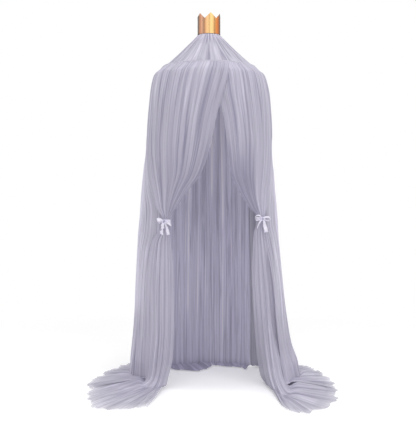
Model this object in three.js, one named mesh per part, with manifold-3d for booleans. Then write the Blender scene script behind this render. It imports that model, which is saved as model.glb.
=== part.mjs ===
// Bed crown canopy in millimetres, +Z up, front at -Y.
// The origin is the inner top of the hang ring, where a hook bears.
import * as THREE from "three";
import { mergeVertices } from "three/addons/utils/BufferGeometryUtils.js";
import Module from "manifold-3d";

const wasm = await Module();
wasm.setup();

// Sizes of the whole canopy
const FLOOR_DROP = 1930;
const SEAM_DROP = 264;
const SEAM_RADIUS = 250;
const FIT_GAP = 0.3;
const CLOTH_THICKNESS = 2;
const FOLD_DEPTH = 12;

// Sizes of the crown
const CROWN_RADIUS = 61;
const CROWN_RIM_DROP = 88;
const CROWN_HEIGHT = 110;
const CROWN_TOOTH_DEPTH = 29;
const CROWN_WALL = 1;
const CROWN_TOOTH_COUNT = 6;
const CROWN_TIP_DEGREES = 9;
const CROWN_LAP_DEGREES = 10;
const STUD_SHANK_RADIUS = 1.5;
const STUD_HEAD_RADIUS = 3.5;
const STUD_HEAD_THICKNESS = 1;

// Sizes of the ring, the neck and the loop
const RING_INNER_RADIUS = 12;
const RING_WIRE_RADIUS = 1.5;
const NECK_RADIUS = 14.7;
const NECK_TOP_DROP = 44;
const NECK_BOTTOM_DROP = 59;
const BINDING_WALL = 1.5;
const BINDING_HEIGHT = 12;
const LOOP_WIDTH = 8;
const LOOP_THICKNESS = 0.8;

// Sizes of the hoop and its casing
const ROD_RADIUS = 4;
const SLEEVE_WALL = 0.7;
const SLEEVE_LENGTH = 40;
const CASING_WALL = 1;
const ROD_COUNT = 4;

// Sizes of the ribbons
const BUNDLE_DEPTH = 14;
const BAND_HEIGHT = 18;
const BAND_WALL = 1;
const RIBBON_WIDTH = 18;
const RIBBON_THICKNESS = 1;
const BOW_LOOP_LENGTH = 36;
const BOW_LOOP_DEPTH = 12;
const KNOT_HALF_WIDTH = 7;
const KNOT_HALF_DEPTH = 5;
const KNOT_HALF_HEIGHT = 10;
const TAIL_LENGTH = 62;
const TAIL_SPREAD = 12;

// Values worked out from the sizes above
const HANG_HEIGHT = FLOOR_DROP - SEAM_DROP;
const SLEEVE_OUTER_RADIUS = ROD_RADIUS + FIT_GAP + SLEEVE_WALL;
const CASING_INNER_RADIUS = SLEEVE_OUTER_RADIUS + FIT_GAP;
const CASING_OUTER_RADIUS = CASING_INNER_RADIUS + CASING_WALL;
const HOOP_RADIUS = SEAM_RADIUS - CASING_OUTER_RADIUS;
const CASING_SLIT_HALF = Math.PI / 10;
const CASING_STEPS = 7;
const CASING_CORNER_SHARE = 1 / Math.cos((Math.PI - CASING_SLIT_HALF) / CASING_STEPS);
const RING_RADIUS = RING_INNER_RADIUS + RING_WIRE_RADIUS;

// Materials
const TULLE = new THREE.MeshStandardMaterial({ color: 0xb5b2c3, roughness: 0.9, side: THREE.DoubleSide });
const RIBBON = new THREE.MeshStandardMaterial({ color: 0xf2f0ff, roughness: 0.35 });
const GOLD = new THREE.MeshStandardMaterial({ color: 0xe0a96c, roughness: 0.2, metalness: 1 });
const STEEL = new THREE.MeshStandardMaterial({ color: 0xb8b8bc, roughness: 0.3, metalness: 1 });
const PLASTIC = new THREE.MeshStandardMaterial({ color: 0xe6e6ea, roughness: 0.5 });
const BINDING = new THREE.MeshStandardMaterial({ color: 0xc6c3d0, roughness: 0.8 });

const part = new THREE.Group();
part.name = "bed_crown_canopy";

// Turns a closed geometry so that its faces look out, and joins doubled vertices.
function facingOut(geometry) {
  const bare = geometry.index ? geometry.clone() : geometry;
  bare.deleteAttribute("normal");
  bare.deleteAttribute("uv");
  const joined = mergeVertices(bare);
  const spots = joined.attributes.position;
  const order = Array.from(joined.index.array);
  const [a, b, c] = [new THREE.Vector3(), new THREE.Vector3(), new THREE.Vector3()];
  let volume = 0;
  const kept = [];
  for (let i = 0; i < order.length; i += 3) {
    const [p, q, r] = order.slice(i, i + 3);
    if (p === q || q === r || r === p) continue;
    kept.push([p, q, r]);
    a.fromBufferAttribute(spots, p);
    b.fromBufferAttribute(spots, q);
    c.fromBufferAttribute(spots, r);
    volume += a.dot(b.cross(c));
  }
  const faces = volume < 0 ? kept.map(([p, q, r]) => [p, r, q]) : kept;
  joined.setIndex(faces.flat());
  joined.computeVertexNormals();
  return joined;
}

function addPiece(name, geometry, material) {
  const mesh = new THREE.Mesh(facingOut(geometry), material);
  mesh.name = name;
  part.add(mesh);
}

// A point at an angle from the front, where the right side is positive.
function polar(degrees, radius, z) {
  const angle = THREE.MathUtils.degToRad(degrees);
  return new THREE.Vector3(radius * Math.sin(angle), -radius * Math.cos(angle), z);
}

// Unit normals of a grid of points, from the points beside each one.
function gridNormals(grid, wraps) {
  const rowCount = grid.length;
  const columnCount = grid[0].length;
  const column = (i) => (wraps ? (i + columnCount) % columnCount : Math.min(Math.max(i, 0), columnCount - 1));
  return grid.map((row, j) =>
    row.map((_, i) => {
      const along = row[column(i + 1)].clone().sub(row[column(i - 1)]);
      const below = grid[Math.min(j + 1, rowCount - 1)][i];
      const above = grid[Math.max(j - 1, 0)][i];
      return along.cross(below.clone().sub(above)).normalize();
    })
  );
}

// A closed sheet of even thickness through a grid of points.
function sheetGeometry(grid, thickness, wraps = false) {
  const normals = gridNormals(grid, wraps);
  const rowCount = grid.length;
  const columnCount = grid[0].length;
  const spots = [];
  for (const side of [1, -1]) {
    grid.forEach((row, j) =>
      row.forEach((point, i) => {
        const spot = point.clone().addScaledVector(normals[j][i], (side * thickness) / 2);
        spots.push(spot.x, spot.y, spot.z);
      })
    );
  }
  const layer = rowCount * columnCount;
  const at = (j, i, back) => back * layer + j * columnCount + (i % columnCount);
  const faces = [];
  const quad = (a, b, c, d) => faces.push(a, b, c, a, c, d);
  const stepCount = wraps ? columnCount : columnCount - 1;
  for (let i = 0; i < stepCount; i += 1) {
    for (let j = 0; j < rowCount - 1; j += 1) {
      quad(at(j, i, 0), at(j, i + 1, 0), at(j + 1, i + 1, 0), at(j + 1, i, 0));
      faces.push(at(j, i, 1), at(j + 1, i + 1, 1), at(j, i + 1, 1));
      faces.push(at(j, i, 1), at(j + 1, i, 1), at(j + 1, i + 1, 1));
    }
    quad(at(0, i, 1), at(0, i + 1, 1), at(0, i + 1, 0), at(0, i, 0));
    const last = rowCount - 1;
    quad(at(last, i, 0), at(last, i + 1, 0), at(last, i + 1, 1), at(last, i, 1));
  }
  if (!wraps) {
    for (let j = 0; j < rowCount - 1; j += 1) {
      const end = columnCount - 1;
      quad(at(j, 0, 0), at(j + 1, 0, 0), at(j + 1, 0, 1), at(j, 0, 1));
      quad(at(j, end, 1), at(j + 1, end, 1), at(j + 1, end, 0), at(j, end, 0));
    }
  }
  const geometry = new THREE.BufferGeometry();
  geometry.setAttribute("position", new THREE.Float32BufferAttribute(spots, 3));
  geometry.setIndex(faces);
  return geometry;
}

// Moves each point of a grid along its normal, and keeps cloth on the floor.
function foldedGrid(grid, foldAt, wraps = false) {
  const normals = gridNormals(grid, wraps);
  const lowest = CLOTH_THICKNESS / 2 - FLOOR_DROP;
  const columnSteps = wraps ? grid[0].length : grid[0].length - 1;
  return grid.map((row, j) =>
    row.map((point, i) => {
      const moved = point.clone().addScaledVector(normals[j][i], foldAt(i / columnSteps, j));
      moved.z = Math.max(moved.z, lowest);
      return moved;
    })
  );
}

// A smooth curve through a list of places given as shares of the seam radius.
function floorCurve(placeShares) {
  const places = placeShares.map(([x, y]) => new THREE.Vector3(x * SEAM_RADIUS, y * SEAM_RADIUS, 0));
  const curve = new THREE.CatmullRomCurve3(places);
  return (u) => curve.getPoint(u);
}

// Rows of cloth that lie on the floor, from where it lands out to its hem.
const TRAIN_SHARES = [0, 0.35, 0.7, 1];
function trainRows(footShares, hemShares, stepCount) {
  const foot = floorCurve(footShares);
  const hem = floorCurve(hemShares);
  return TRAIN_SHARES.map((share) =>
    Array.from({ length: stepCount + 1 }, (_, i) => {
      const spot = foot(i / stepCount).lerp(hem(i / stepCount), share);
      spot.z = CLOTH_THICKNESS / 2 - FLOOR_DROP;
      return spot;
    })
  );
}

// Crown
// The band is one strip whose ends lap at the back, over a valley between two points.
const TOOTH_DEGREES = 360 / CROWN_TOOTH_COUNT;
const STEPS_PER_TOOTH = 8;
const LAP_VALLEY_DEGREES = CROWN_TIP_DEGREES + 2.5 * TOOTH_DEGREES;

function crownTopAt(degrees) {
  const turn = (degrees - CROWN_TIP_DEGREES) / TOOTH_DEGREES;
  const fromTip = Math.abs(turn - Math.round(turn)) * 2;
  return CROWN_HEIGHT - CROWN_RIM_DROP - fromTip * CROWN_TOOTH_DEPTH;
}

function crownBand() {
  const stepDegrees = TOOTH_DEGREES / STEPS_PER_TOOTH;
  const halfLap = CROWN_LAP_DEGREES / 2;
  const turns = [LAP_VALLEY_DEGREES - halfLap];
  for (let step = 0; step <= CROWN_TOOTH_COUNT * STEPS_PER_TOOTH; step += 1) {
    turns.push(LAP_VALLEY_DEGREES + step * stepDegrees);
  }
  turns.push(LAP_VALLEY_DEGREES + 360 + halfLap);
  const lift = CROWN_WALL + FIT_GAP;
  const liftedFrom = LAP_VALLEY_DEGREES + 360 - 1.5 * stepDegrees;
  const middle = CROWN_RADIUS - CROWN_WALL / 2;
  const heightShares = [1, 0.5, 0];
  const grid = heightShares.map((share) =>
    turns.map((degrees) => {
      const radius = middle + (degrees > liftedFrom ? lift : 0);
      const z = -CROWN_RIM_DROP + share * (crownTopAt(degrees) + CROWN_RIM_DROP);
      return polar(degrees, radius, z);
    })
  );
  return sheetGeometry(grid, CROWN_WALL);
}

const STUD_HEIGHT_SHARES = { crown_stud_upper: 0.55, crown_stud_lower: 0.25 };

// Lays a geometry made about the Y axis along the radius at the lap.
function placedStud(geometry, share) {
  geometry.rotateX(Math.PI);
  geometry.rotateZ(THREE.MathUtils.degToRad(LAP_VALLEY_DEGREES));
  geometry.translate(0, 0, share * CROWN_HEIGHT - CROWN_RIM_DROP);
  return geometry;
}

function studHole(share) {
  const length = CROWN_RADIUS;
  const hole = new THREE.CylinderGeometry(STUD_SHANK_RADIUS + FIT_GAP, STUD_SHANK_RADIUS + FIT_GAP, length, 16);
  hole.translate(0, CROWN_RADIUS, 0);
  return placedStud(hole, share);
}

function stud(share) {
  const innerFace = CROWN_RADIUS - CROWN_WALL - FIT_GAP;
  const outerFace = CROWN_RADIUS + CROWN_WALL + 2 * FIT_GAP;
  const outline = [
    [0, innerFace - STUD_HEAD_THICKNESS],
    [STUD_HEAD_RADIUS, innerFace - STUD_HEAD_THICKNESS],
    [STUD_HEAD_RADIUS, innerFace],
    [STUD_SHANK_RADIUS, innerFace],
    [STUD_SHANK_RADIUS, outerFace],
    [STUD_HEAD_RADIUS, outerFace],
    [STUD_HEAD_RADIUS / 2, outerFace + STUD_HEAD_THICKNESS],
    [0, outerFace + STUD_HEAD_THICKNESS],
  ].map(([radius, along]) => new THREE.Vector2(radius, along));
  return placedStud(new THREE.LatheGeometry(outline, 16), share);
}

function asManifold(geometry) {
  const closed = facingOut(geometry);
  const mesh = new wasm.Mesh({
    numProp: 3,
    vertProperties: new Float32Array(closed.attributes.position.array),
    triVerts: new Uint32Array(closed.index.array),
  });
  return new wasm.Manifold(mesh);
}

function fromManifold(solid) {
  const mesh = solid.getMesh();
  const geometry = new THREE.BufferGeometry();
  geometry.setAttribute("position", new THREE.Float32BufferAttribute(mesh.vertProperties, 3));
  geometry.setIndex(Array.from(mesh.triVerts));
  return geometry;
}

let drilledBand = asManifold(crownBand());
for (const [name, share] of Object.entries(STUD_HEIGHT_SHARES)) {
  drilledBand = drilledBand.subtract(asManifold(studHole(share)));
  addPiece(name, stud(share), GOLD);
}
addPiece("crown_band", fromManifold(drilledBand), GOLD);

// Hang ring
// The ring stands in the Y-Z plane, so its lowest wire runs along Y.
const hangRing = new THREE.TorusGeometry(RING_RADIUS, RING_WIRE_RADIUS, 8, 24);
hangRing.rotateX(Math.PI / 2);
hangRing.rotateZ(Math.PI / 2);
hangRing.rotateX(Math.PI / 2);
hangRing.translate(0, 0, -RING_INNER_RADIUS);
addPiece("hang_ring", hangRing, STEEL);

// Hang loop
// A ribbon goes over the ring's lowest wire and down inside the neck on both sides.
function hangLoop() {
  const halfWidth = LOOP_WIDTH / 2;
  const wireDrop = RING_INNER_RADIUS + RING_RADIUS;
  const wireRise = RING_RADIUS - Math.sqrt(RING_RADIUS ** 2 - halfWidth ** 2);
  const bend = RING_WIRE_RADIUS + FIT_GAP + wireRise + LOOP_THICKNESS / 2;
  const neckInside = NECK_RADIUS - CLOTH_THICKNESS / 2 - FIT_GAP;
  const legReach = Math.sqrt(neckInside ** 2 - halfWidth ** 2) - LOOP_THICKNESS / 2;
  const arcSteps = 8;
  const path = [
    [-legReach, -NECK_BOTTOM_DROP],
    [-legReach, -NECK_TOP_DROP],
  ];
  for (let step = 0; step <= arcSteps; step += 1) {
    const angle = Math.PI * (1 - step / arcSteps);
    path.push([bend * Math.cos(angle), bend * Math.sin(angle) - wireDrop]);
  }
  path.push([legReach, -NECK_TOP_DROP], [legReach, -NECK_BOTTOM_DROP]);
  const grid = [-halfWidth, halfWidth].map((y) => path.map(([x, z]) => new THREE.Vector3(x, y, z)));
  return sheetGeometry(grid, LOOP_THICKNESS);
}
addPiece("hang_loop", hangLoop(), RIBBON);

// Neck binding
function neckBinding() {
  const inner = NECK_RADIUS + CLOTH_THICKNESS / 2 + FIT_GAP;
  const top = -NECK_TOP_DROP;
  const outline = [
    [inner, top],
    [inner, top - BINDING_HEIGHT],
    [inner + BINDING_WALL, top - BINDING_HEIGHT],
    [inner + BINDING_WALL, top],
    [inner, top],
  ].map(([radius, z]) => new THREE.Vector2(radius, z));
  const ring = new THREE.LatheGeometry(outline, 48);
  ring.rotateX(Math.PI / 2);
  return ring;
}
addPiece("neck_binding", neckBinding(), BINDING);

// Top cone
// It leaves the neck, passes just under the crown's rim and ends on the hoop casing.
function topCone() {
  const crownInside = CROWN_RADIUS - CROWN_WALL;
  const run = HOOP_RADIUS - crownInside;
  const fall = SEAM_DROP - CROWN_RIM_DROP;
  const slant = Math.hypot(run, fall);
  const sunk = (CLOTH_THICKNESS / 2 + FIT_GAP) * (slant / run);
  const underRim = [crownInside, -CROWN_RIM_DROP - sunk];
  const gapToHoop = CASING_OUTER_RADIUS * CASING_CORNER_SHARE + FIT_GAP;
  const hoopRun = HOOP_RADIUS - crownInside;
  const hoopFall = SEAM_DROP + underRim[1];
  const hoopSlant = Math.hypot(hoopRun, hoopFall);
  const reach = 1 - gapToHoop / hoopSlant;
  const slantShares = [0.35, 0.7, 1];
  const flare = (crownInside - NECK_RADIUS) * 0.15;
  const outline = [
    [NECK_RADIUS, -NECK_TOP_DROP],
    [NECK_RADIUS, -NECK_BOTTOM_DROP],
    [NECK_RADIUS + flare, -NECK_BOTTOM_DROP - flare],
    underRim,
    ...slantShares.map((share) => [
      crownInside + share * reach * hoopRun,
      underRim[1] - share * reach * hoopFall,
    ]),
  ];
  const gatherShares = [0, 0, 0.1, 0, 0.12, 0.08, 0];
  const stepCount = 48;
  const gatherCount = 12;
  const grid = outline.map(([radius, z]) =>
    Array.from({ length: stepCount }, (_, i) => polar((i * 360) / stepCount, radius, z))
  );
  const gatherAt = (u, j) => gatherShares[j] * FOLD_DEPTH * Math.sin(2 * Math.PI * gatherCount * u);
  return sheetGeometry(foldedGrid(grid, gatherAt, true), CLOTH_THICKNESS, true);
}
addPiece("top_cone", topCone(), TULLE);

// Hoop
// Rods, sleeves and casing follow the same many-sided ring, so they stay clear of each other.
const HOOP_SIDES = 72;
const SIDE_DEGREES = 360 / HOOP_SIDES;

function hoopRadiusAt(degrees) {
  const offset = ((degrees % SIDE_DEGREES) + SIDE_DEGREES) % SIDE_DEGREES;
  const flat = HOOP_RADIUS * Math.cos(THREE.MathUtils.degToRad(SIDE_DEGREES / 2));
  return flat / Math.cos(THREE.MathUtils.degToRad(offset - SIDE_DEGREES / 2));
}

// A ring of points about the hoop's line at one angle.
function hoopSection(degrees, radius, sides) {
  return Array.from({ length: sides }, (_, k) => {
    const angle = (2 * Math.PI * k) / sides;
    const outward = hoopRadiusAt(degrees) + radius * Math.cos(angle);
    return polar(degrees, outward, radius * Math.sin(angle) - SEAM_DROP);
  });
}

// A closed solid through rings of points. It has flat ends, or else its last ring meets its first.
function skinnedSolid(rings, hasEnds) {
  const sides = rings[0].length;
  const spots = rings.flat().flatMap((spot) => [spot.x, spot.y, spot.z]);
  const faces = [];
  const spanCount = hasEnds ? rings.length - 1 : rings.length;
  for (let j = 0; j < spanCount; j += 1) {
    const next = ((j + 1) % rings.length) * sides;
    for (let k = 0; k < sides; k += 1) {
      const beside = (k + 1) % sides;
      faces.push(j * sides + k, j * sides + beside, next + beside);
      faces.push(j * sides + k, next + beside, next + k);
    }
  }
  const last = (rings.length - 1) * sides;
  for (let k = 1; hasEnds && k < sides - 1; k += 1) {
    faces.push(0, k + 1, k, last, last + k, last + k + 1);
  }
  const geometry = new THREE.BufferGeometry();
  geometry.setAttribute("position", new THREE.Float32BufferAttribute(spots, 3));
  geometry.setIndex(faces);
  return geometry;
}

const ROD_DEGREES = 360 / ROD_COUNT;
const ROD_SIDES = 8;
const END_GAP_DEGREES = THREE.MathUtils.radToDeg(FIT_GAP / 2 / HOOP_RADIUS);
const SLEEVE_HALF_DEGREES = THREE.MathUtils.radToDeg(SLEEVE_LENGTH / 2 / HOOP_RADIUS);

function hoopRod(index) {
  const start = index * ROD_DEGREES;
  const sideCount = ROD_DEGREES / SIDE_DEGREES;
  const turns = [start + END_GAP_DEGREES];
  for (let side = 1; side < sideCount; side += 1) turns.push(start + side * SIDE_DEGREES);
  turns.push(start + ROD_DEGREES - END_GAP_DEGREES);
  const rings = turns.map((degrees) => hoopSection(degrees, ROD_RADIUS, ROD_SIDES));
  return skinnedSolid(rings, true);
}

function hoopSleeve(index) {
  const centre = index * ROD_DEGREES;
  const turns = [centre - SLEEVE_HALF_DEGREES, centre, centre + SLEEVE_HALF_DEGREES];
  const [outside, inside] = [SLEEVE_OUTER_RADIUS, ROD_RADIUS + FIT_GAP].map((radius) =>
    turns.map((degrees) => hoopSection(degrees, radius, ROD_SIDES))
  );
  return skinnedSolid([...outside, ...inside.reverse()], false);
}

// The casing is a channel whose slit faces the axis.
function hoopCasing() {
  const halfTurn = Math.PI - CASING_SLIT_HALF;
  const arc = (radius) =>
    Array.from({ length: CASING_STEPS + 1 }, (_, k) => {
      const angle = ((2 * k) / CASING_STEPS - 1) * halfTurn;
      const corner = radius * CASING_CORNER_SHARE;
      return new THREE.Vector2(HOOP_RADIUS + corner * Math.cos(angle), corner * Math.sin(angle) - SEAM_DROP);
    });
  const outline = [...arc(CASING_OUTER_RADIUS), ...arc(CASING_INNER_RADIUS).reverse()];
  outline.push(outline[0].clone());
  const casing = new THREE.LatheGeometry(outline, HOOP_SIDES);
  casing.rotateX(Math.PI / 2);
  return casing;
}

for (let index = 0; index < ROD_COUNT; index += 1) {
  addPiece(`hoop_arc_${index + 1}`, hoopRod(index), PLASTIC);
  addPiece(`hoop_sleeve_${index + 1}`, hoopSleeve(index), PLASTIC);
}
addPiece("hoop_casing", hoopCasing(), BINDING);

// Front curtains
// Each row gives its height share, the angle and radius share of the inner and outer edge,
// how far its middle swells to the front, and its fold share. Radii are shares of the seam radius.
const LEFT_ROW_SHARES = [
  [0.987, 21, 1.152, -83.6, 1.1, 0, 0.15],
  [0.96, 18, 1.248, -83.6, 1.192, 0, 0.3],
  [0.9, 12.5, 1.288, -83.6, 1.264, 0, 0.4],
  [0.824, 6.5, 1.272, -83.6, 1.3, 0, 0.5],
  [0.748, 1.9, 1.24, -83, 1.34, 0, 0.6],
  [0.66, -7.5, 1.172, -76, 1.32, 0, 0.8],
  [0.606, -23, 1.152, -67, 1.272, 0, 1],
  [0.555, -38, 1.16, -57.5, 1.248, 0, 1],
];
const LEFT_TIE_SHARES = [0.511, -43.6, 1.1575, -51.75, 1.2296];
const LEFT_LOWER_SHARES = [
  [0.474, -43, 1.188, -54.5, 1.272, 0, 1],
  [0.42, -40, 1.216, -57.5, 1.3, 0, 1],
  [0.36, -35, 1.248, -62, 1.38, 0, 1.1],
  [0.27, -35, 1.248, -62, 1.4, 0.02, 1.1],
  [0.18, -35, 1.256, -62, 1.404, 0.04, 1.1],
  [0.09, -36, 1.28, -65, 1.41, 0.06, 1],
  [0.036, -38, 1.34, -70, 1.4, 0.1, 0.8],
];
const LEFT_FOOT_SHARES = [
  [-0.884, -1.08],
  [-1.04, -1.22],
  [-1.26, -1.2],
  [-1.42, -0.94],
  [-1.42, -0.6],
  [-1.36, -0.32],
];
const LEFT_HEM_SHARES = [
  [-1.128, -2.548],
  [-1.476, -2.76],
  [-1.976, -2.644],
  [-2.184, -2.532],
  [-2.32, -1.988],
  [-2.36, -1.6],
  [-2.34, -1.144],
  [-2.42, -0.62],
];

const RIGHT_ROW_SHARES = [
  [0.987, 6, 1.088, 83.6, 1.1, 0, 0.15],
  [0.96, 6.5, 1.18, 83.6, 1.25, 0, 0.3],
  [0.9, 9, 1.22, 83.6, 1.296, 0, 0.4],
  [0.824, 14.3, 1.22, 83.6, 1.332, 0, 0.5],
  [0.748, 17.5, 1.22, 83.6, 1.338, 0, 0.6],
  [0.66, 21.5, 1.212, 77, 1.34, 0, 0.8],
  [0.606, 30, 1.208, 69, 1.34, 0, 1],
  [0.555, 41, 1.248, 61, 1.368, 0, 1],
];
const RIGHT_TIE_SHARES = [0.519, 49.56, 1.2836, 56.25, 1.3826];
const RIGHT_LOWER_SHARES = [
  [0.474, 49.6, 1.272, 58, 1.43, 0, 1],
  [0.42, 49, 1.248, 61, 1.47, 0.02, 1],
  [0.36, 48, 1.2, 63, 1.5, 0.05, 1.1],
  [0.27, 49.5, 1.2, 63, 1.56, 0.1, 1.1],
  [0.18, 53, 1.188, 64, 1.62, 0.22, 1],
  [0.09, 59, 1.17, 66, 1.68, 0.5, 0.8],
  [0.036, 64, 1.176, 70, 1.72, 0.86, 0.6],
];
const RIGHT_FOOT_SHARES = [
  [1.16, -0.3],
  [1.22, -1.04],
  [1.34, -1.78],
  [1.52, -2],
  [1.7, -1.68],
  [1.78, -1.06],
  [1.74, -0.42],
];
const RIGHT_HEM_SHARES = [
  [1.26, -0.24],
  [1.328, -1.6],
  [1.348, -2.4],
  [1.46, -2.72],
  [1.88, -3.02],
  [2.24, -2.32],
  [2.42, -1.8],
  [2.63, -1.36],
  [2.56, -0.85],
  [2.52, -0.44],
];

const CURTAIN_FOLDS = 6;
const STEPS_PER_FOLD = 4;
const CURTAIN_STEPS = CURTAIN_FOLDS * STEPS_PER_FOLD;
const TRAIN_FOLD_SHARE = 0.8;

function curtainRow(drop, inner, outer, forward) {
  return Array.from({ length: CURTAIN_STEPS + 1 }, (_, i) => {
    const u = i / CURTAIN_STEPS;
    const degrees = THREE.MathUtils.lerp(inner[0], outer[0], u);
    const radius = THREE.MathUtils.lerp(inner[1], outer[1], u);
    const spot = polar(degrees, radius, drop);
    spot.y -= forward * Math.sin(Math.PI * u) ** 1.5;
    return spot;
  });
}

function sharedRow([heightShare, innerDegrees, innerShare, outerDegrees, outerShare, forwardShare]) {
  return curtainRow(
    heightShare * HANG_HEIGHT - FLOOR_DROP,
    [innerDegrees, innerShare * SEAM_RADIUS],
    [outerDegrees, outerShare * SEAM_RADIUS],
    forwardShare * SEAM_RADIUS
  );
}

// The seam row lies against the casing, and the left curtain laps over the right one there.
const LAP_END_SHARE = 0.4;
function seamRow(innerDegrees, outerDegrees, lap) {
  const radius = SEAM_RADIUS + CLOTH_THICKNESS / 2 + FIT_GAP;
  return Array.from({ length: CURTAIN_STEPS + 1 }, (_, i) => {
    const u = i / CURTAIN_STEPS;
    const lifted = lap * (1 - THREE.MathUtils.smoothstep(u, LAP_END_SHARE / 2, LAP_END_SHARE));
    return polar(THREE.MathUtils.lerp(innerDegrees, outerDegrees, u), radius + lifted, -SEAM_DROP);
  });
}

// The two ends of the tied bundle's width.
function tieEnds([heightShare, innerDegrees, innerShare, outerDegrees, outerShare]) {
  const z = heightShare * HANG_HEIGHT - FLOOR_DROP;
  const inner = polar(innerDegrees, innerShare * SEAM_RADIUS, z);
  const outer = polar(outerDegrees, outerShare * SEAM_RADIUS, z);
  return { inner, outer };
}

// The bundle is straight a little further than the band reaches.
function tieRow(tieShares, side) {
  const { inner, outer } = tieEnds(tieShares);
  const rise = (side * BAND_HEIGHT * 2) / 3;
  return Array.from({ length: CURTAIN_STEPS + 1 }, (_, i) => {
    const spot = inner.clone().lerp(outer, i / CURTAIN_STEPS);
    spot.z += rise;
    return spot;
  });
}

function curtain(shape) {
  const { rowShares, tieShares, lowerShares } = shape;
  const tieRows = [tieRow(tieShares, 1), tieRow(tieShares, -1)];
  const seamTop = seamRow(shape.seamInnerDegrees, shape.seamOuterDegrees, shape.lap);
  const train = trainRows(shape.footShares, shape.hemShares, CURTAIN_STEPS);
  const grid = [seamTop, ...rowShares.map(sharedRow), ...tieRows, ...lowerShares.map(sharedRow), ...train];
  const trainStart = grid.length - train.length;
  const depths = [
    0,
    ...rowShares.map((row) => row[6] * FOLD_DEPTH),
    BUNDLE_DEPTH,
    BUNDLE_DEPTH,
    ...lowerShares.map((row) => row[6] * FOLD_DEPTH),
    ...train.map(() => (TRAIN_FOLD_SHARE * FOLD_DEPTH) / 2),
  ];
  const foldAt = (u, j) => {
    const swell = Math.sqrt(Math.max(0, 1 - (2 * u - 1) ** 2));
    const wave = swell * Math.sin(2 * Math.PI * CURTAIN_FOLDS * u);
    return depths[j] * (j >= trainStart ? wave + swell : wave);
  };
  return sheetGeometry(foldedGrid(grid, foldAt), CLOTH_THICKNESS);
}

const CURTAINS = {
  left: {
    seamInnerDegrees: 22,
    seamOuterDegrees: -83.6,
    lap: 2 * (CLOTH_THICKNESS + FIT_GAP),
    rowShares: LEFT_ROW_SHARES,
    tieShares: LEFT_TIE_SHARES,
    lowerShares: LEFT_LOWER_SHARES,
    footShares: LEFT_FOOT_SHARES,
    hemShares: LEFT_HEM_SHARES,
  },
  right: {
    seamInnerDegrees: 6,
    seamOuterDegrees: 83.6,
    lap: 0,
    rowShares: RIGHT_ROW_SHARES,
    tieShares: RIGHT_TIE_SHARES,
    lowerShares: RIGHT_LOWER_SHARES,
    footShares: RIGHT_FOOT_SHARES,
    hemShares: RIGHT_HEM_SHARES,
  },
};
for (const [side, shape] of Object.entries(CURTAINS)) {
  addPiece(`${side}_curtain`, curtain(shape), TULLE);
}

// Side and back panels
// Each row gives its height share, the angle of the panel's first edge, the radius shares of both edges,
// and how far the panel swells between them.
// The front edges of the side panels lie outside the tied curtains, so that they close the sides.
const PANELS = {
  left_side_panel: {
    degrees: [-84, -139.8],
    folds: 4,
    rowShares: [
      [0.987, -84, 1.1, 1.12, 0],
      [0.96, -84, 1.188, 1.22, 0],
      [0.9, -84, 1.26, 1.272, 0],
      [0.783, -84, 1.335, 1.32, 0],
      [0.74, -83.6, 1.362, 1.337, 0],
      [0.66, -77, 1.41, 1.368, 0],
      [0.6, -66, 1.44, 1.387, 0.01],
      [0.473, -54, 1.45, 1.42, 0.07],
      [0.319, -58, 1.5, 1.448, 0.09],
      [0.18, -58, 1.52, 1.464, 0.11],
      [0.067, -62, 1.5, 1.464, 0.23],
    ],
    footShares: [
      [-1.42, -0.24],
      [-1.68, 0.36],
      [-1.46, 0.86],
      [-0.95, 1.12],
    ],
    hemShares: [
      [-2.46, -0.46],
      [-2.42, -0.06],
      [-2.3, 0.4],
      [-2.152, 0.94],
      [-2, 1.46],
      [-1.72, 1.6],
      [-1.34, 1.5],
      [-1.04, 1.26],
    ],
  },
  back_panel: {
    degrees: [140.2, 219.8],
    folds: 5,
    rowShares: [
      [0.987, 140.2, 1.12, 1.12, 0],
      [0.96, 140.2, 1.22, 1.22, 0],
      [0.9, 140.2, 1.272, 1.272, 0],
      [0.783, 140.2, 1.32, 1.32, 0],
      [0.628, 140.2, 1.38, 1.38, 0],
      [0.473, 140.2, 1.42, 1.42, 0],
      [0.319, 140.2, 1.448, 1.448, 0],
      [0.18, 140.2, 1.464, 1.464, 0],
      [0.067, 140.2, 1.464, 1.464, 0],
    ],
    footShares: [
      [0.93, 1.13],
      [0.5, 1.38],
      [0, 1.46],
      [-0.5, 1.38],
      [-0.93, 1.13],
    ],
    hemShares: [
      [0.84, 0.9],
      [0.72, 1.14],
      [0.488, 1.248],
      [0.16, 1.36],
      [0, 1.2],
      [-0.192, 0.86],
      [-0.552, 0.74],
      [-0.86, 0.96],
    ],
  },
  right_side_panel: {
    degrees: [84, 139.8],
    folds: 4,
    rowShares: [
      [0.987, 84, 1.1, 1.12, 0],
      [0.96, 84, 1.25, 1.22, 0],
      [0.9, 84, 1.3, 1.272, 0],
      [0.783, 84, 1.342, 1.32, 0],
      [0.74, 83.6, 1.356, 1.337, 0],
      [0.66, 77.5, 1.385, 1.368, 0],
      [0.6, 67, 1.415, 1.387, 0],
      [0.473, 57, 1.49, 1.42, 0],
      [0.319, 60, 1.58, 1.448, 0.01],
      [0.18, 62, 1.68, 1.464, 0.04],
      [0.067, 67, 1.8, 1.464, 0.22],
    ],
    footShares: [
      [1.82, -0.28],
      [1.86, 0.4],
      [1.52, 0.86],
      [0.95, 1.12],
    ],
    hemShares: [
      [2.53, -0.28],
      [2.53, 0.2],
      [2.46, 0.732],
      [2.34, 0.952],
      [2.208, 1.28],
      [1.8, 1.5],
      [1.38, 1.5],
      [1.04, 1.26],
    ],
  },
};
const PANEL_FOLD_SHARE = 0.8;

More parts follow.
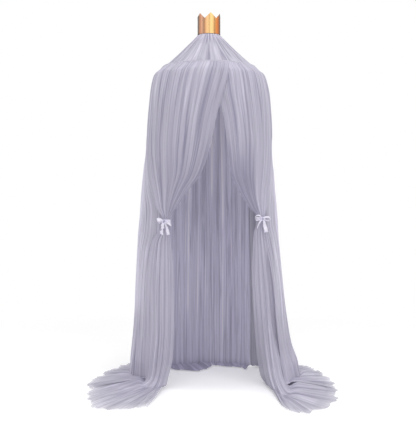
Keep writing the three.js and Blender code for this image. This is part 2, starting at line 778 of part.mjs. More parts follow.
function panel({ degrees, folds, rowShares, footShares, hemShares }) {
  const stepCount = folds * STEPS_PER_FOLD;
  const seamRadius = (SEAM_RADIUS + CLOTH_THICKNESS / 2 + FIT_GAP) / SEAM_RADIUS;
  const rows = [[1, degrees[0], seamRadius, seamRadius, 0], ...rowShares];
  const hanging = rows.map(([heightShare, firstDegrees, first, last, swell]) =>
    Array.from({ length: stepCount + 1 }, (_, i) => {
      const u = i / stepCount;
      const turn = THREE.MathUtils.lerp(firstDegrees, degrees[1], u);
      const radiusShare = THREE.MathUtils.lerp(first, last, u) + swell * Math.sin(Math.PI * u);
      return polar(turn, radiusShare * SEAM_RADIUS, heightShare * HANG_HEIGHT - FLOOR_DROP);
    })
  );
  const grid = [...hanging, ...trainRows(footShares, hemShares, stepCount)];
  const outward = Math.sign(degrees[0] - degrees[1]);
  const foldAt = (u, j) => {
    const wave = (1 - Math.cos(2 * Math.PI * folds * u)) / 2;
    if (j >= hanging.length) return outward * TRAIN_FOLD_SHARE * FOLD_DEPTH * wave;
    return outward * PANEL_FOLD_SHARE * Math.sqrt(1 - rows[j][0]) * FOLD_DEPTH * wave;
  };
  return sheetGeometry(foldedGrid(grid, foldAt), CLOTH_THICKNESS);
}
for (const [name, shape] of Object.entries(PANELS)) addPiece(name, panel(shape), TULLE);

// Tie bands and bows
// A tie frame has its centre in the bundle, its x along the bundle and its y to the back.
function tieFrame(tieShares) {
  const { inner, outer } = tieEnds(tieShares);
  const [first, last] = inner.x < outer.x ? [inner, outer] : [outer, inner];
  const along = last.clone().sub(first).normalize();
  const up = new THREE.Vector3(0, 0, 1);
  const back = up.clone().cross(along);
  const frame = new THREE.Matrix4().makeBasis(along, back, up);
  frame.setPosition(inner.clone().add(outer).divideScalar(2));
  return { frame, halfWidth: inner.distanceTo(outer) / 2 };
}

function ellipsePath(PathKind, halfWidth, halfDepth) {
  const path = new PathKind();
  path.absellipse(0, 0, halfWidth, halfDepth, 0, 2 * Math.PI);
  return path;
}

// A band goes round the bundle with one fit gap.
function tieBand(halfWidth) {
  const inside = CLOTH_THICKNESS / 2 + FIT_GAP;
  const outside = inside + BAND_WALL;
  const ring = ellipsePath(THREE.Shape, halfWidth + outside, BUNDLE_DEPTH + outside);
  ring.holes.push(ellipsePath(THREE.Path, halfWidth + inside, BUNDLE_DEPTH + inside));
  const band = new THREE.ExtrudeGeometry(ring, { depth: BAND_HEIGHT, bevelEnabled: false, curveSegments: 18 });
  band.translate(0, 0, -BAND_HEIGHT / 2);
  return band;
}

// The middle of the knot, in front of the band.
const KNOT_REACH = BUNDLE_DEPTH + CLOTH_THICKNESS / 2 + BAND_WALL + 2 * FIT_GAP + KNOT_HALF_DEPTH;

function bowKnot() {
  const knot = new THREE.SphereGeometry(KNOT_HALF_DEPTH, 14, 10);
  knot.scale(KNOT_HALF_WIDTH / KNOT_HALF_DEPTH, 1, KNOT_HALF_HEIGHT / KNOT_HALF_DEPTH);
  knot.translate(0, -KNOT_REACH, 0);
  return knot;
}

// A loop is a ribbon bent back on itself, seen from above as a drop.
function bowLoop(side) {
  const stepCount = 18;
  const start = KNOT_HALF_WIDTH + FIT_GAP + RIBBON_THICKNESS / 2;
  const reach = BOW_LOOP_LENGTH - RIBBON_THICKNESS;
  const path = Array.from({ length: stepCount }, (_, i) => {
    const turn = (2 * Math.PI * i) / stepCount;
    const out = (1 - Math.cos(turn)) / 2;
    const wide = Math.sin(turn) * (0.35 + 0.65 * out);
    return [side * (start + reach * out), (wide * BOW_LOOP_DEPTH) / 2 - KNOT_REACH];
  });
  const grid = [RIBBON_WIDTH / 2, -RIBBON_WIDTH / 2].map((z) => path.map(([x, y]) => new THREE.Vector3(x, y, z)));
  return sheetGeometry(grid, RIBBON_THICKNESS, true);
}

// A tail hangs from under the knot and swings to its side.
function bowTail(side) {
  const stepCount = 8;
  const top = -KNOT_HALF_HEIGHT - FIT_GAP;
  const offset = RIBBON_WIDTH / 2 + FIT_GAP;
  const grid = Array.from({ length: stepCount + 1 }, (_, j) => {
    const share = j / stepCount;
    const middle = side * (offset + TAIL_SPREAD * share ** 1.5);
    const narrow = THREE.MathUtils.lerp(0.5, 1, Math.min(1, share * 3));
    const half = (RIBBON_WIDTH / 2) * narrow;
    const y = -KNOT_REACH - (BOW_LOOP_DEPTH / 4) * Math.sin(Math.PI * share);
    const z = top - TAIL_LENGTH * share;
    const pulled = middle - side * offset * (1 - Math.min(1, share * 3)) * 0.45;
    return [-1, 0, 1].map((edge) => new THREE.Vector3(pulled + edge * half, y, z));
  });
  return sheetGeometry(grid, RIBBON_THICKNESS);
}

for (const [side, shape] of Object.entries(CURTAINS)) {
  const { frame, halfWidth } = tieFrame(shape.tieShares);
  const pieces = {
    tie_band: tieBand(halfWidth),
    bow_knot: bowKnot(),
    bow_loop_left: bowLoop(-1),
    bow_loop_right: bowLoop(1),
    bow_tail_left: bowTail(-1),
    bow_tail_right: bowTail(1),
  };
  for (const [name, geometry] of Object.entries(pieces)) {
    addPiece(`${side}_${name}`, geometry.applyMatrix4(frame), RIBBON);
  }
}

export default part;
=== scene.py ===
import math

import bmesh
import bpy
import numpy as np
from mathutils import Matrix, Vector


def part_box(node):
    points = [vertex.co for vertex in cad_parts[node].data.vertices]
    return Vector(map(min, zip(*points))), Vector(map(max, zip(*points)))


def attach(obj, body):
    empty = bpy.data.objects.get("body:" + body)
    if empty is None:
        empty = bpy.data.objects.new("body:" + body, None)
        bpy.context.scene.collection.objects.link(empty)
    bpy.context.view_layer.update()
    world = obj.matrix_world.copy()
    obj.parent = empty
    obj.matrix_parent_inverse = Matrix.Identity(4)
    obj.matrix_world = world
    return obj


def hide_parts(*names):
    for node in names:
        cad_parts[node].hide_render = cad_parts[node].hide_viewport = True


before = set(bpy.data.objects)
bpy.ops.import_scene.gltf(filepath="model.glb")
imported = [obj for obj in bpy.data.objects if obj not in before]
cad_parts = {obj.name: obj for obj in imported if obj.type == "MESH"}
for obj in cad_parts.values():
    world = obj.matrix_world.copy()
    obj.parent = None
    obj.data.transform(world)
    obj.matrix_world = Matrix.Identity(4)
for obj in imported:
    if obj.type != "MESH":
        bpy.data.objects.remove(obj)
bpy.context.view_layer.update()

# Camera
# It stands in front of the open curtains, near the middle of the canopy's height.
# It looks straight in and a very little down.
FLOOR_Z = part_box("left_curtain")[0].z
CAMERA_AWAY = 4.6
CAMERA_SIDE = -0.005
CAMERA_RISE = 0.98
CAMERA_TILT = math.radians(0.98)
CAMERA_LENS_MM = 73.1
CAMERA_SENSOR_MM = 36

camera_data = bpy.data.cameras.new("camera")
camera_data.lens = CAMERA_LENS_MM
camera_data.sensor_width = CAMERA_SENSOR_MM
camera = bpy.data.objects.new("camera", camera_data)
camera.location = (CAMERA_SIDE, -CAMERA_AWAY, FLOOR_Z + CAMERA_RISE)
camera.rotation_euler = (math.pi / 2 - CAMERA_TILT, 0, 0)
bpy.context.scene.collection.objects.link(camera)
bpy.context.scene.camera = camera

# Crown
# A strip of thin polished gold metal with six points, bent into a ring.
# Its ends lap at the back, where two small studs hold them.
CROWN_WALL = 0.001
CROWN_LAP_GAP = 0.0003
CROWN_TOOTH_DEPTH = 0.029
CROWN_TEETH = 6
CROWN_TIP_DEGREES = 9
CROWN_LAP_HALF_DEGREES = 4.5
CROWN_STEP_DEGREES = 1.5
CROWN_LAP_RAMP_DEGREES = 9
# The ends lap in the valley that lies this many half teeth past the first tip.
CROWN_LAP_HALF_TEETH = 5
CROWN_ROWS = 40
CROWN_EDGE = 0.0003
JOIN_REACH = 1e-6
GOLD_BRUSH_SCALE = (180, 180, 3)
GOLD_SWAY_SCALE = 14
GOLD_SWAY = 0.05
GOLD_ROUGHNESS = (0.16, 0.34)
GOLD_BRUSH_DEPTH = 0.0003
# How far round the crown each tone of the polished sheet begins.
# The tones are painted reflections: bright toward the front and back, dark toward the sides.
GOLD_REFLECTION_SHARES = [
    (0, (0.24, 0.2, 0.18)),
    (0.1, (0.32, 0.22, 0.15)),
    (0.2, (0.51, 0.3, 0.17)),
    (0.29, (0.65, 0.39, 0.21)),
    (0.38, (0.76, 0.6, 0.4)),
    (0.46, (0.79, 0.66, 0.45)),
    (0.58, (0.76, 0.61, 0.44)),
    (0.64, (0.69, 0.51, 0.38)),
    (0.7, (0.71, 0.55, 0.45)),
    (0.78, (0.58, 0.41, 0.32)),
    (0.88, (0.4, 0.32, 0.26)),
    (1, (0.26, 0.23, 0.2)),
]


def linear(colour):
    """A colour as it looks on a screen, as the numbers that light adds up in."""
    return tuple(c / 12.92 if c <= 0.04045 else ((c + 0.055) / 1.055) ** 2.4 for c in colour) + (1,)


def set_inputs(tree, node, **inputs):
    """Sets or links a node's inputs, given by name, or by number after an underscore."""
    for key, value in inputs.items():
        socket = node.inputs[int(key[1:])] if key[1:].isdigit() else node.inputs[key.replace("_", " ")]
        if isinstance(value, bpy.types.NodeSocket):
            tree.links.new(value, socket)
        else:
            socket.default_value = value


def node_maker(tree):
    """A function that adds a node to a tree, with its settings and its inputs."""

    def add(kind, settings=(), **inputs):
        node = tree.nodes.new(kind)
        for key, value in dict(settings).items():
            setattr(node, key, value)
        set_inputs(tree, node, **inputs)
        return node

    return add


def node_tree(name):
    """A new material, its tree, a function that adds nodes to it, and its main shader."""
    material = bpy.data.materials.new(name)
    material.use_nodes = True
    tree = material.node_tree
    return material, tree, node_maker(tree), tree.nodes["Principled BSDF"]


def colour_ramp(add, factor, stops):
    """A ramp through colours given as they look on a screen."""
    ramp = add("ShaderNodeValToRGB", Fac=factor)
    marks = ramp.color_ramp.elements
    marks[0].position, marks[0].color = stops[0][0], linear(stops[0][1])
    marks[1].position, marks[1].color = stops[-1][0], linear(stops[-1][1])
    for place, colour in stops[1:-1]:
        marks.new(place).color = linear(colour)
    return ramp.outputs["Color"]


def maths(add, operation, *values):
    """The result of one sum in a material."""
    inputs = {f"_{index}": value for index, value in enumerate(values)}
    return add("ShaderNodeMath", {"operation": operation}, **inputs).outputs[0]


def varied(add, factor, ends):
    """A number that runs between two ends as the factor runs from 0 to 1."""
    return add("ShaderNodeMapRange", Value=factor, To_Min=ends[0], To_Max=ends[1]).outputs[0]


def gold_metal():
    """Polished gold: broad bands of painted reflection run up the bent sheet, with fine brush lines along
    them.
    """
    material, tree, add, shader = node_tree("gold")
    place = add("ShaderNodeTexCoord").outputs["Object"]
    axes = add("ShaderNodeSeparateXYZ", Vector=place).outputs
    half_turns = maths(add, "DIVIDE", maths(add, "ARCTAN2", axes["X"], axes["Y"]), math.pi)
    brushed = add("ShaderNodeMapping", Vector=place, Scale=GOLD_BRUSH_SCALE).outputs[0]
    lines = add("ShaderNodeTexNoise", Vector=brushed, Scale=1, Detail=3).outputs["Fac"]
    wobble = add("ShaderNodeTexNoise", Vector=place, Scale=GOLD_SWAY_SCALE, Detail=2).outputs["Fac"]
    swayed = maths(add, "MULTIPLY_ADD", wobble, GOLD_SWAY, maths(add, "ADD", half_turns, 0.5))
    # The colour is painted reflection, which turns with the angle round the crown.
    colour = colour_ramp(add, maths(add, "FRACT", swayed), GOLD_REFLECTION_SHARES)
    rough = varied(add, lines, GOLD_ROUGHNESS)
    bump = add("ShaderNodeBump", Strength=0.12, Distance=GOLD_BRUSH_DEPTH, Height=lines)
    set_inputs(tree, shader, Base_Color=colour, Metallic=1.0, Roughness=rough, Normal=bump.outputs[0])
    return material


def show_mesh(name, mesh, material):
    """A piece of the scene that shows a mesh, smooth and in its material."""
    mesh.shade_smooth()
    mesh.materials.append(material)
    piece = bpy.data.objects.new(name, mesh)
    bpy.context.scene.collection.objects.link(piece)
    return piece


def grid_piece(name, spots, material, joins=False, **values):
    """A smooth sheet through a grid of places, with its rows from top to bottom.

    Its UV map runs from 0 to 1 both ways. Other values are kept with each place, for the material to read.
    """
    rows, columns = spots.shape[0] - 1, spots.shape[1] - 1
    sheet = bmesh.new()
    sheet.loops.layers.uv.new("cloth")
    bmesh.ops.create_grid(sheet, x_segments=columns, y_segments=rows, size=0.5, calc_uvs=True)
    mesh = bpy.data.meshes.new(name)
    sheet.to_mesh(mesh)
    flat = np.empty(len(mesh.vertices) * 3)
    mesh.vertices.foreach_get("co", flat)
    flat = flat.reshape(-1, 3)
    column = np.rint((flat[:, 0] + 0.5) * columns).astype(int)
    row = np.rint((0.5 - flat[:, 1]) * rows).astype(int)
    mesh.vertices.foreach_set("co", spots[row, column].ravel())
    for key, value in values.items():
        mesh.attributes.new(key, "FLOAT", "POINT").data.foreach_set("value", value[row, column])
    if joins:
        sheet.clear()
        sheet.from_mesh(mesh)
        bmesh.ops.remove_doubles(sheet, verts=sheet.verts, dist=JOIN_REACH)
        sheet.to_mesh(mesh)
    sheet.free()
    return show_mesh(name, mesh, material)


def face_away(piece, centre=None):
    """Turns a piece's faces over if more of them look in than out.

    In is toward the centre that is given, or else toward the canopy's upright centre line.
    """
    mesh = piece.data
    outward = 0
    for face in mesh.polygons:
        away = Vector((face.center.x, face.center.y, 0)) if centre is None else face.center - centre
        outward += face.normal.dot(away) * face.area
    if outward < 0:
        mesh.flip_normals()


def polar(degrees, radius, height):
    """Places at angles from the front, where the right side is positive."""
    turn = np.radians(degrees)
    return np.stack(np.broadcast_arrays(radius * np.sin(turn), -radius * np.cos(turn), height), -1)


def smooth_step(value, low, high):
    """Runs smoothly from 0 at the low value to 1 at the high one."""
    share = np.clip((value - low) / (high - low), 0, 1)
    return share * share * (3 - 2 * share)


def add_wall(piece, thickness, offset=0.0):
    """Gives a sheet its thickness, half on each side unless the offset says otherwise."""
    wall = piece.modifiers.new("wall", "SOLIDIFY")
    wall.thickness = thickness
    wall.offset = offset


crown_low, crown_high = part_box("crown_band")
CROWN_RADIUS = (crown_high.x - crown_low.x) / 2
lap_valley = CROWN_TIP_DEGREES + CROWN_LAP_HALF_TEETH * 180 / CROWN_TEETH
crown_turns = np.arange(
    lap_valley - CROWN_LAP_HALF_DEGREES,
    lap_valley + 360 + CROWN_LAP_HALF_DEGREES + CROWN_STEP_DEGREES / 2,
    CROWN_STEP_DEGREES,
)
from_tip = (crown_turns - CROWN_TIP_DEGREES) / (360 / CROWN_TEETH)
from_tip = 2 * np.abs(from_tip - np.rint(from_tip))
crown_tops = crown_high.z - from_tip * CROWN_TOOTH_DEPTH
crown_rows = np.linspace(1, 0, CROWN_ROWS + 1)[:, None]
crown_heights = crown_low.z + crown_rows * (crown_tops - crown_low.z)
lap_start = lap_valley + 360 - CROWN_LAP_HALF_DEGREES
lifted = smooth_step(crown_turns, lap_start - CROWN_LAP_RAMP_DEGREES, lap_start)
crown_radii = CROWN_RADIUS + lifted * (CROWN_WALL + CROWN_LAP_GAP)
crown = grid_piece("crown", polar(crown_turns, crown_radii, crown_heights), gold_metal())
face_away(crown)
add_wall(crown, CROWN_WALL, -1)
crown_edge = crown.modifiers.new("edge", "BEVEL")
crown_edge.width = CROWN_EDGE
crown_edge.segments = 2
crown_edge.limit_method = "ANGLE"
crown_edge.harden_normals = True
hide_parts("crown_band")
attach(crown, "crown")


def dress_node(node, material):
    """Gives a node of the frame its finish."""
    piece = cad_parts[node]
    piece.data.materials.clear()
    piece.data.materials.append(material)


for stud in ("crown_stud_upper", "crown_stud_lower"):
    dress_node(stud, bpy.data.materials["gold"])

# Hang ring
# A closed ring of plated steel wire that goes on the ceiling hook.
# It stands in the neck and rises just above the crown's valleys.
RING_WIRE_STEPS = 16
RING_STEPS = 72
RING_SCRATCH_SCALE = 900
RING_ROUGHNESS = (0.12, 0.3)
RING_STOP_SHARES = [(0.3, (0.66, 0.66, 0.68)), (0.7, (0.8, 0.8, 0.82))]


def ring_steel():
    """Plated steel with hair scratches."""
    material, tree, add, shader = node_tree("steel")
    place = add("ShaderNodeTexCoord").outputs["Object"]
    scratches = add("ShaderNodeTexNoise", Vector=place, Scale=RING_SCRATCH_SCALE, Detail=4).outputs["Fac"]
    tone = colour_ramp(add, scratches, RING_STOP_SHARES)
    rough = varied(add, scratches, RING_ROUGHNESS)
    set_inputs(tree, shader, Base_Color=tone, Metallic=1.0, Roughness=rough)
    return material


def spun_ring(name, section, centre, axis, steps, material):
    """A closed ring: a closed section turned once round an axis."""
    shape = bmesh.new()
    verts = [shape.verts.new(spot) for spot in section]
    edges = [shape.edges.new((a, b)) for a, b in zip(verts, verts[1:] + verts[:1])]
    bmesh.ops.spin(
        shape, geom=verts + edges, cent=centre, axis=axis, angle=2 * math.pi, steps=steps, use_merge=True
    )
    bmesh.ops.remove_doubles(shape, verts=shape.verts, dist=JOIN_REACH)
    bmesh.ops.recalc_face_normals(shape, faces=shape.faces)
    mesh = bpy.data.meshes.new(name)
    shape.to_mesh(mesh)
    shape.free()
    return show_mesh(name, mesh, material)


ring_low, ring_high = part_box("hang_ring")
ring_wire = ring_high.x
ring_middle = (ring_low.z + ring_high.z) / 2
ring_turns = np.arange(RING_WIRE_STEPS) * 2 * math.pi / RING_WIRE_STEPS
ring_section = [
    (ring_wire * math.cos(turn), 0, ring_high.z - ring_wire + ring_wire * math.sin(turn))
    for turn in ring_turns
]
hang_ring = spun_ring("ring", ring_section, (0, 0, ring_middle), (1, 0, 0), RING_STEPS, ring_steel())
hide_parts("hang_ring")
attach(hang_ring, "hanger")

# Hang loop
# A narrow satin ribbon that goes over the ring's lowest wire.
# Both its ends run down inside the neck, where they are sewn in.
LOOP_THICKNESS = 0.0008
LOOP_CLEAR = 0.0004
LOOP_ARC_STEPS = 24
LOOP_LEG_STEPS = 16
LOOP_ROWS = 9
# Tones of the ribbon in its small shadows and where it is lit.
SATIN_TONES = ((0.88, 0.86, 0.97), (0.985, 0.97, 1))
SATIN_RIBS = 260
SATIN_CLOUDS = 90
SATIN_ROUGHNESS = (0.28, 0.46)
SATIN_RIB_DEPTH = 0.0002


def cloth_metres(add, length, width):
    """The places on a piece of cloth, in metres along and across it."""
    uv = add("ShaderNodeUVMap", {"uv_map": "cloth"}).outputs[0]
    return add("ShaderNodeMapping", Vector=uv, Scale=(length, width, 1)).outputs[0]


def satin(name, width, length, tones=SATIN_TONES):
    """Woven satin ribbon: fine ribs across it, cloudy tones and a soft sheen."""
    material, tree, add, shader = node_tree(name)
    sized = cloth_metres(add, length, width)
    across = {"bands_direction": "X"}
    ribs = add("ShaderNodeTexWave", across, Vector=sized, Scale=SATIN_RIBS, Distortion=1.5, Detail=2)
    cloud = add("ShaderNodeTexNoise", Vector=sized, Scale=SATIN_CLOUDS, Detail=3).outputs["Fac"]
    tone = colour_ramp(add, cloud, [(0.3, tones[0]), (0.6, tones[1])])
    bump = add("ShaderNodeBump", Strength=0.25, Distance=SATIN_RIB_DEPTH, Height=ribs.outputs["Fac"])
    set_inputs(
        tree,
        shader,
        Base_Color=tone,
        Roughness=varied(add, cloud, SATIN_ROUGHNESS),
        Normal=bump.outputs[0],
        Sheen_Weight=0.35,
        Sheen_Roughness=0.35,
        Anisotropic=0.4,
    )
    return material


loop_low, loop_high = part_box("hang_loop")
loop_bend = ring_wire + LOOP_CLEAR + LOOP_THICKNESS / 2
loop_leg = loop_high.x - LOOP_THICKNESS / 2
loop_top = ring_low.z + ring_wire
loop_arc = np.linspace(math.pi, 0, LOOP_ARC_STEPS + 1)
arc_x = loop_bend * np.cos(loop_arc)
arc_z = loop_top + loop_bend * np.sin(loop_arc)
leg_share = np.linspace(0, 1, LOOP_LEG_STEPS, endpoint=False)
leg_x = -loop_leg + (loop_leg - loop_bend) * smooth_step(leg_share, 0, 1)
leg_z = loop_low.z + leg_share * (loop_top - loop_low.z)
loop_x = np.concatenate([leg_x, arc_x, -leg_x[::-1]])
loop_z = np.concatenate([leg_z, arc_z, leg_z[::-1]])
loop_y = np.linspace(loop_low.y, loop_high.y, LOOP_ROWS)[:, None]
loop_spots = np.stack(np.broadcast_arrays(loop_x, loop_y, loop_z), -1)
loop_satin = satin("loop_satin", loop_high.y - loop_low.y, 2 * (loop_top - loop_low.z))
hang_loop = grid_piece("ribbon_loop", loop_spots, loop_satin)
face_away(hang_loop)
add_wall(hang_loop, LOOP_THICKNESS)
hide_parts("hang_loop")
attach(hang_loop, "canopy")

# Neck binding
# A woven tape that is wrapped and sewn round the top of the net, under the crown.
# It gathers the whole cone into the neck.
BINDING_WALL = 0.0015
BINDING_STEPS = 96
BINDING_CRUMPLE = 0.0003
BINDING_COUNT = 24
BINDING_ROWS = 8
# The wall of a soft band, as a share of its solid's.
SOFT_WALL_SHARE = 0.8
TAPE_THREADS = 320
TAPE_STITCHES = 90
TAPE_CLOUDS = 60
TAPE_THREAD_DEPTH = 0.0003
TAPE_STOP_SHARES = [(0.3, (0.68, 0.665, 0.73)), (0.7, (0.76, 0.745, 0.8))]


def woven_tape(name, length, width):
    """Cotton tape: a close weave of threads both ways, ridged by the stitches across it."""
    material, tree, add, shader = node_tree(name)
    sized = cloth_metres(add, length, width)
    warp, weft, stitch = (
        add("ShaderNodeTexWave", {"bands_direction": direction}, Vector=sized, Scale=scale).outputs["Fac"]
        for direction, scale in (("X", TAPE_THREADS), ("Y", TAPE_THREADS), ("X", TAPE_STITCHES))
    )
    height = maths(add, "ADD", maths(add, "MULTIPLY", warp, weft), stitch)
    cloud = add("ShaderNodeTexNoise", Vector=sized, Scale=TAPE_CLOUDS, Detail=4)
    tone = colour_ramp(add, cloud.outputs["Fac"], TAPE_STOP_SHARES)
    bump = add("ShaderNodeBump", Strength=0.35, Distance=TAPE_THREAD_DEPTH, Height=height)
    set_inputs(tree, shader, Base_Color=tone, Roughness=0.85, Normal=bump.outputs[0], Sheen_Weight=0.25)
    return material


binding_low, binding_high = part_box("neck_binding")
binding_outer = binding_high.x
binding_turns = np.linspace(0, 360, BINDING_STEPS + 1)
binding_share = np.linspace(0, 1, BINDING_ROWS + 1)[:, None]
binding_crumple = BINDING_CRUMPLE * np.sin(np.radians(binding_turns) * BINDING_COUNT)
binding_crumple = binding_crumple * np.sin(math.pi * binding_share)
binding_spots = polar(
    binding_turns,
    binding_outer - BINDING_WALL / 2 + binding_crumple,
    binding_high.z + binding_share * (binding_low.z - binding_high.z),
)
binding_tape = woven_tape("neck_tape", 2 * math.pi * binding_outer, binding_high.z - binding_low.z)
neck_binding = grid_piece("binding", binding_spots, binding_tape, joins=True)
face_away(neck_binding)
add_wall(neck_binding, BINDING_WALL * SOFT_WALL_SHARE)
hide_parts("neck_binding")
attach(neck_binding, "canopy")

# Top cone
# Soft lavender net, gathered into the neck and drawn over the hoop.
# Its fine pleats fan out from under the crown and flatten toward the hoop.
CONE_STEPS = 720
CONE_ROWS = 110
CONE_PLEATS = 64
CONE_FOLDS = 22
CONE_NECK_RADIUS = 0.0147
CONE_NECK_BOTTOM = -0.059
CONE_FLARE_SHARE = 0.15
CONE_INSET = 0.001
CONE_SAG = 0.003
CONE_PLEAT = 0.0036
CONE_FOLD = 0.0036
# How deep the pleats and the broad folds are from the crown's rim (0) to the hoop (1).
CONE_PLEAT_SHARES = [(0, 0.3), (0.04, 0.6), (0.2, 1), (0.6, 0.7), (1, 0.25)]
CONE_FOLD_SHARES = [(0, 0), (0.1, 0.25), (0.45, 0.9), (0.85, 1), (1, 0.2)]
# A hollow lies this share of its depth inward, and this share down.
CONE_HOLLOW_IN = 0.5
CONE_HOLLOW_DOWN = 0.8
# How strongly pleats and folds are painted with light and shade, and how much of the pleats' painted shade is
# gone at the hoop.
CONE_PLEAT_SHADE = 0.7
CONE_FOLD_SHADE = 0.4
CONE_PLEAT_FADE = 0.6
# How much the net hides by itself, and how much more where it is gathered near the crown.
CONE_COVER = 0.74
CONE_GATHERED_COVER = 0.2
CONE_GATHERED_END = 0.3
CREASE_REPEAT_DEGREES = 120
CREASE_START_FADE = (0.1, 0.15)
CREASE_END_FADE = 0.35
# Long painted creases of the cone, dark lines of painted shade where the strength is below 0 and pale lines
# of painted light above it:
# degrees from the front, start, end, half width in degrees, strength. The same few come three times round it.
CONE_PAINTED_CREASES = [
    (-44, 0.1, 0.8, 3, -0.8),
    (-26, 0.1, 1, 3, -1),
    (-18, 0.2, 1.1, 4, 0.8),
    (-10, 0.05, 1.1, 4.5, 1),
    (-6, 0, 0.5, 2, -2.4),
    (0, 0.3, 1.1, 2, -1.4),
    (3, -0.1, 0.4, 2.6, -3),
    (11, 0.4, 1.2, 2.6, 1.1),
    (16, -0.1, 0.5, 2.4, -1.8),
    (26, 0, 0.8, 4, 0.7),
    (33, 0.1, 1, 2.6, -2),
    (52, 0.2, 1.1, 4, -0.8),
]
CLOTH_CLEAR = 0.0013
FOLD_WIDTHS = (0.55, 1.45)
FOLD_STRENGTHS = (0.35, 1)
FOLD_SWINGS = 4
FOLD_CALM_EDGE = 0.08
# A fold grows and fades by this share as it runs down, this many times.
FOLD_LIFE = 0.25
FOLD_LIVES = 1.3
# Tones of the net: painted light on its crests, plain, and painted shade in its hollows.
CONE_TONES = ((0.82, 0.805, 0.87), (0.785, 0.77, 0.835), (0.6, 0.585, 0.67))
# Fine painted creases along the cloth: how many to a metre across and along it, their width, and their
# painted shade, below 0 for dark lines and above 0 for pale highlight lines.
NET_PAINTED_CREASES = [(10, 0.5, 0.04, -1.5), (24, 0.8, 0.04, -1), (7, 0.5, 0.02, 0.7)]
NET_STREAK_SCALE = (110, 2.2, 1)
NET_FOLD_SHADE = 0.27
# The painted highlight on the highest crests is this much brighter than the others, but no brighter than this
# level.
NET_BRIGHTER = 1.16
NET_BRIGHTEST = 1.05
NET_HOLES = 520
NET_HOLE_DEPTH = 0.0004
NET_ROUGHNESS = (0.82, 0.98)


def net(name, tones, metres):
    """Fine net of matt yarn, in metres of cloth across and down.

    Its colour has painted light on the crests of its folds, and painted shade in their hollows and in the
    fine creases along it.
    Where more layers lie together it lets less through.
    """
    material, tree, add, shader = node_tree(name)
    sized = cloth_metres(add, *metres)
    # The crest value holds painted light above 0 and painted shade below 0. The creases add painted shade and
    # pale painted lines.
    folded = add("ShaderNodeAttribute", {"attribute_name": "crest"}).outputs["Fac"]
    for across, along, width, strength in NET_PAINTED_CREASES:
        stretched = add("ShaderNodeMapping", Vector=sized, Scale=(across, along, 1)).outputs[0]
        wave = add("ShaderNodeTexNoise", Vector=stretched, Scale=1, Detail=1.5, Roughness=0.5).outputs["Fac"]
        away = maths(add, "ABSOLUTE", maths(add, "SUBTRACT", wave, 0.5))
        crease = add("ShaderNodeMapRange", Value=away, From_Max=width, To_Min=strength, To_Max=0)
        folded = maths(add, "ADD", folded, crease.outputs[0])
    streaks = add("ShaderNodeMapping", Vector=sized, Scale=NET_STREAK_SCALE).outputs[0]
    streak = add("ShaderNodeTexNoise", Vector=streaks, Scale=1, Detail=4, Roughness=0.6).outputs["Fac"]
    lit = maths(add, "MULTIPLY_ADD", folded, NET_FOLD_SHADE, streak)
    light, plain, dark = tones
    brighter = min(NET_BRIGHTER, NET_BRIGHTEST / max(light))
    bright = tuple(min(1, brighter * c) for c in light)
    tone = colour_ramp(add, lit, [(0, dark), (0.45, plain), (0.7, light), (1, bright)])
    to_edge = {"feature": "DISTANCE_TO_EDGE"}
    holes = add("ShaderNodeTexVoronoi", to_edge, Vector=sized, Scale=NET_HOLES, Randomness=0.15)
    bump = add("ShaderNodeBump", Strength=0.2, Distance=NET_HOLE_DEPTH, Height=holes.outputs["Distance"])
    set_inputs(
        tree,
        shader,
        Base_Color=tone,
        Roughness=varied(add, streak, NET_ROUGHNESS),
        Normal=bump.outputs[0],
        Alpha=add("ShaderNodeAttribute", {"attribute_name": "cover"}).outputs["Fac"],
        Sheen_Weight=0.2,
        Sheen_Roughness=0.5,
        Specular_IOR_Level=0.15,
    )
    return material


def fold_lines(across, down, count, seed, wander=0.0, sharp=0.5):
    """Heights from -1 to 1 of folds that run down a cloth. Each has its own width and strength."""
    chance = np.random.default_rng(seed)
    widths = chance.uniform(*FOLD_WIDTHS, count)
    edges = np.concatenate([[0], np.cumsum(widths)]) / widths.sum()
    strengths = chance.uniform(*FOLD_STRENGTHS, count + 1)
    strengths[-1] = strengths[0]
    phases = chance.uniform(0, 2 * math.pi, count + 1)
    phases[-1] = phases[0]
    swings = chance.uniform(0, 2 * math.pi, FOLD_SWINGS)
    slanted = 0.8 * down + 0.4 * across
    sway = sum(
        np.sin(2 * math.pi * (k + 1) * slanted + swings[k]) / (k + 1) for k in range(FOLD_SWINGS)
    )
    ends = smooth_step(across, 0, FOLD_CALM_EDGE) * smooth_step(1 - across, 0, FOLD_CALM_EDGE)
    turn = np.interp(np.clip(across + wander * sway * ends, 0, 1), edges, np.arange(count + 1))
    strength = np.interp(turn, np.arange(count + 1), strengths)
    phase = np.interp(turn, np.arange(count + 1), phases)
    life = 1 - FOLD_LIFE + FOLD_LIFE * np.sin(2 * math.pi * FOLD_LIVES * down + phase)
    crest = 2 * np.abs(np.cos(math.pi * turn)) - 1
    wave = np.cos(2 * math.pi * turn)
    return strength * life * (sharp * crest + (1 - sharp) * wave)


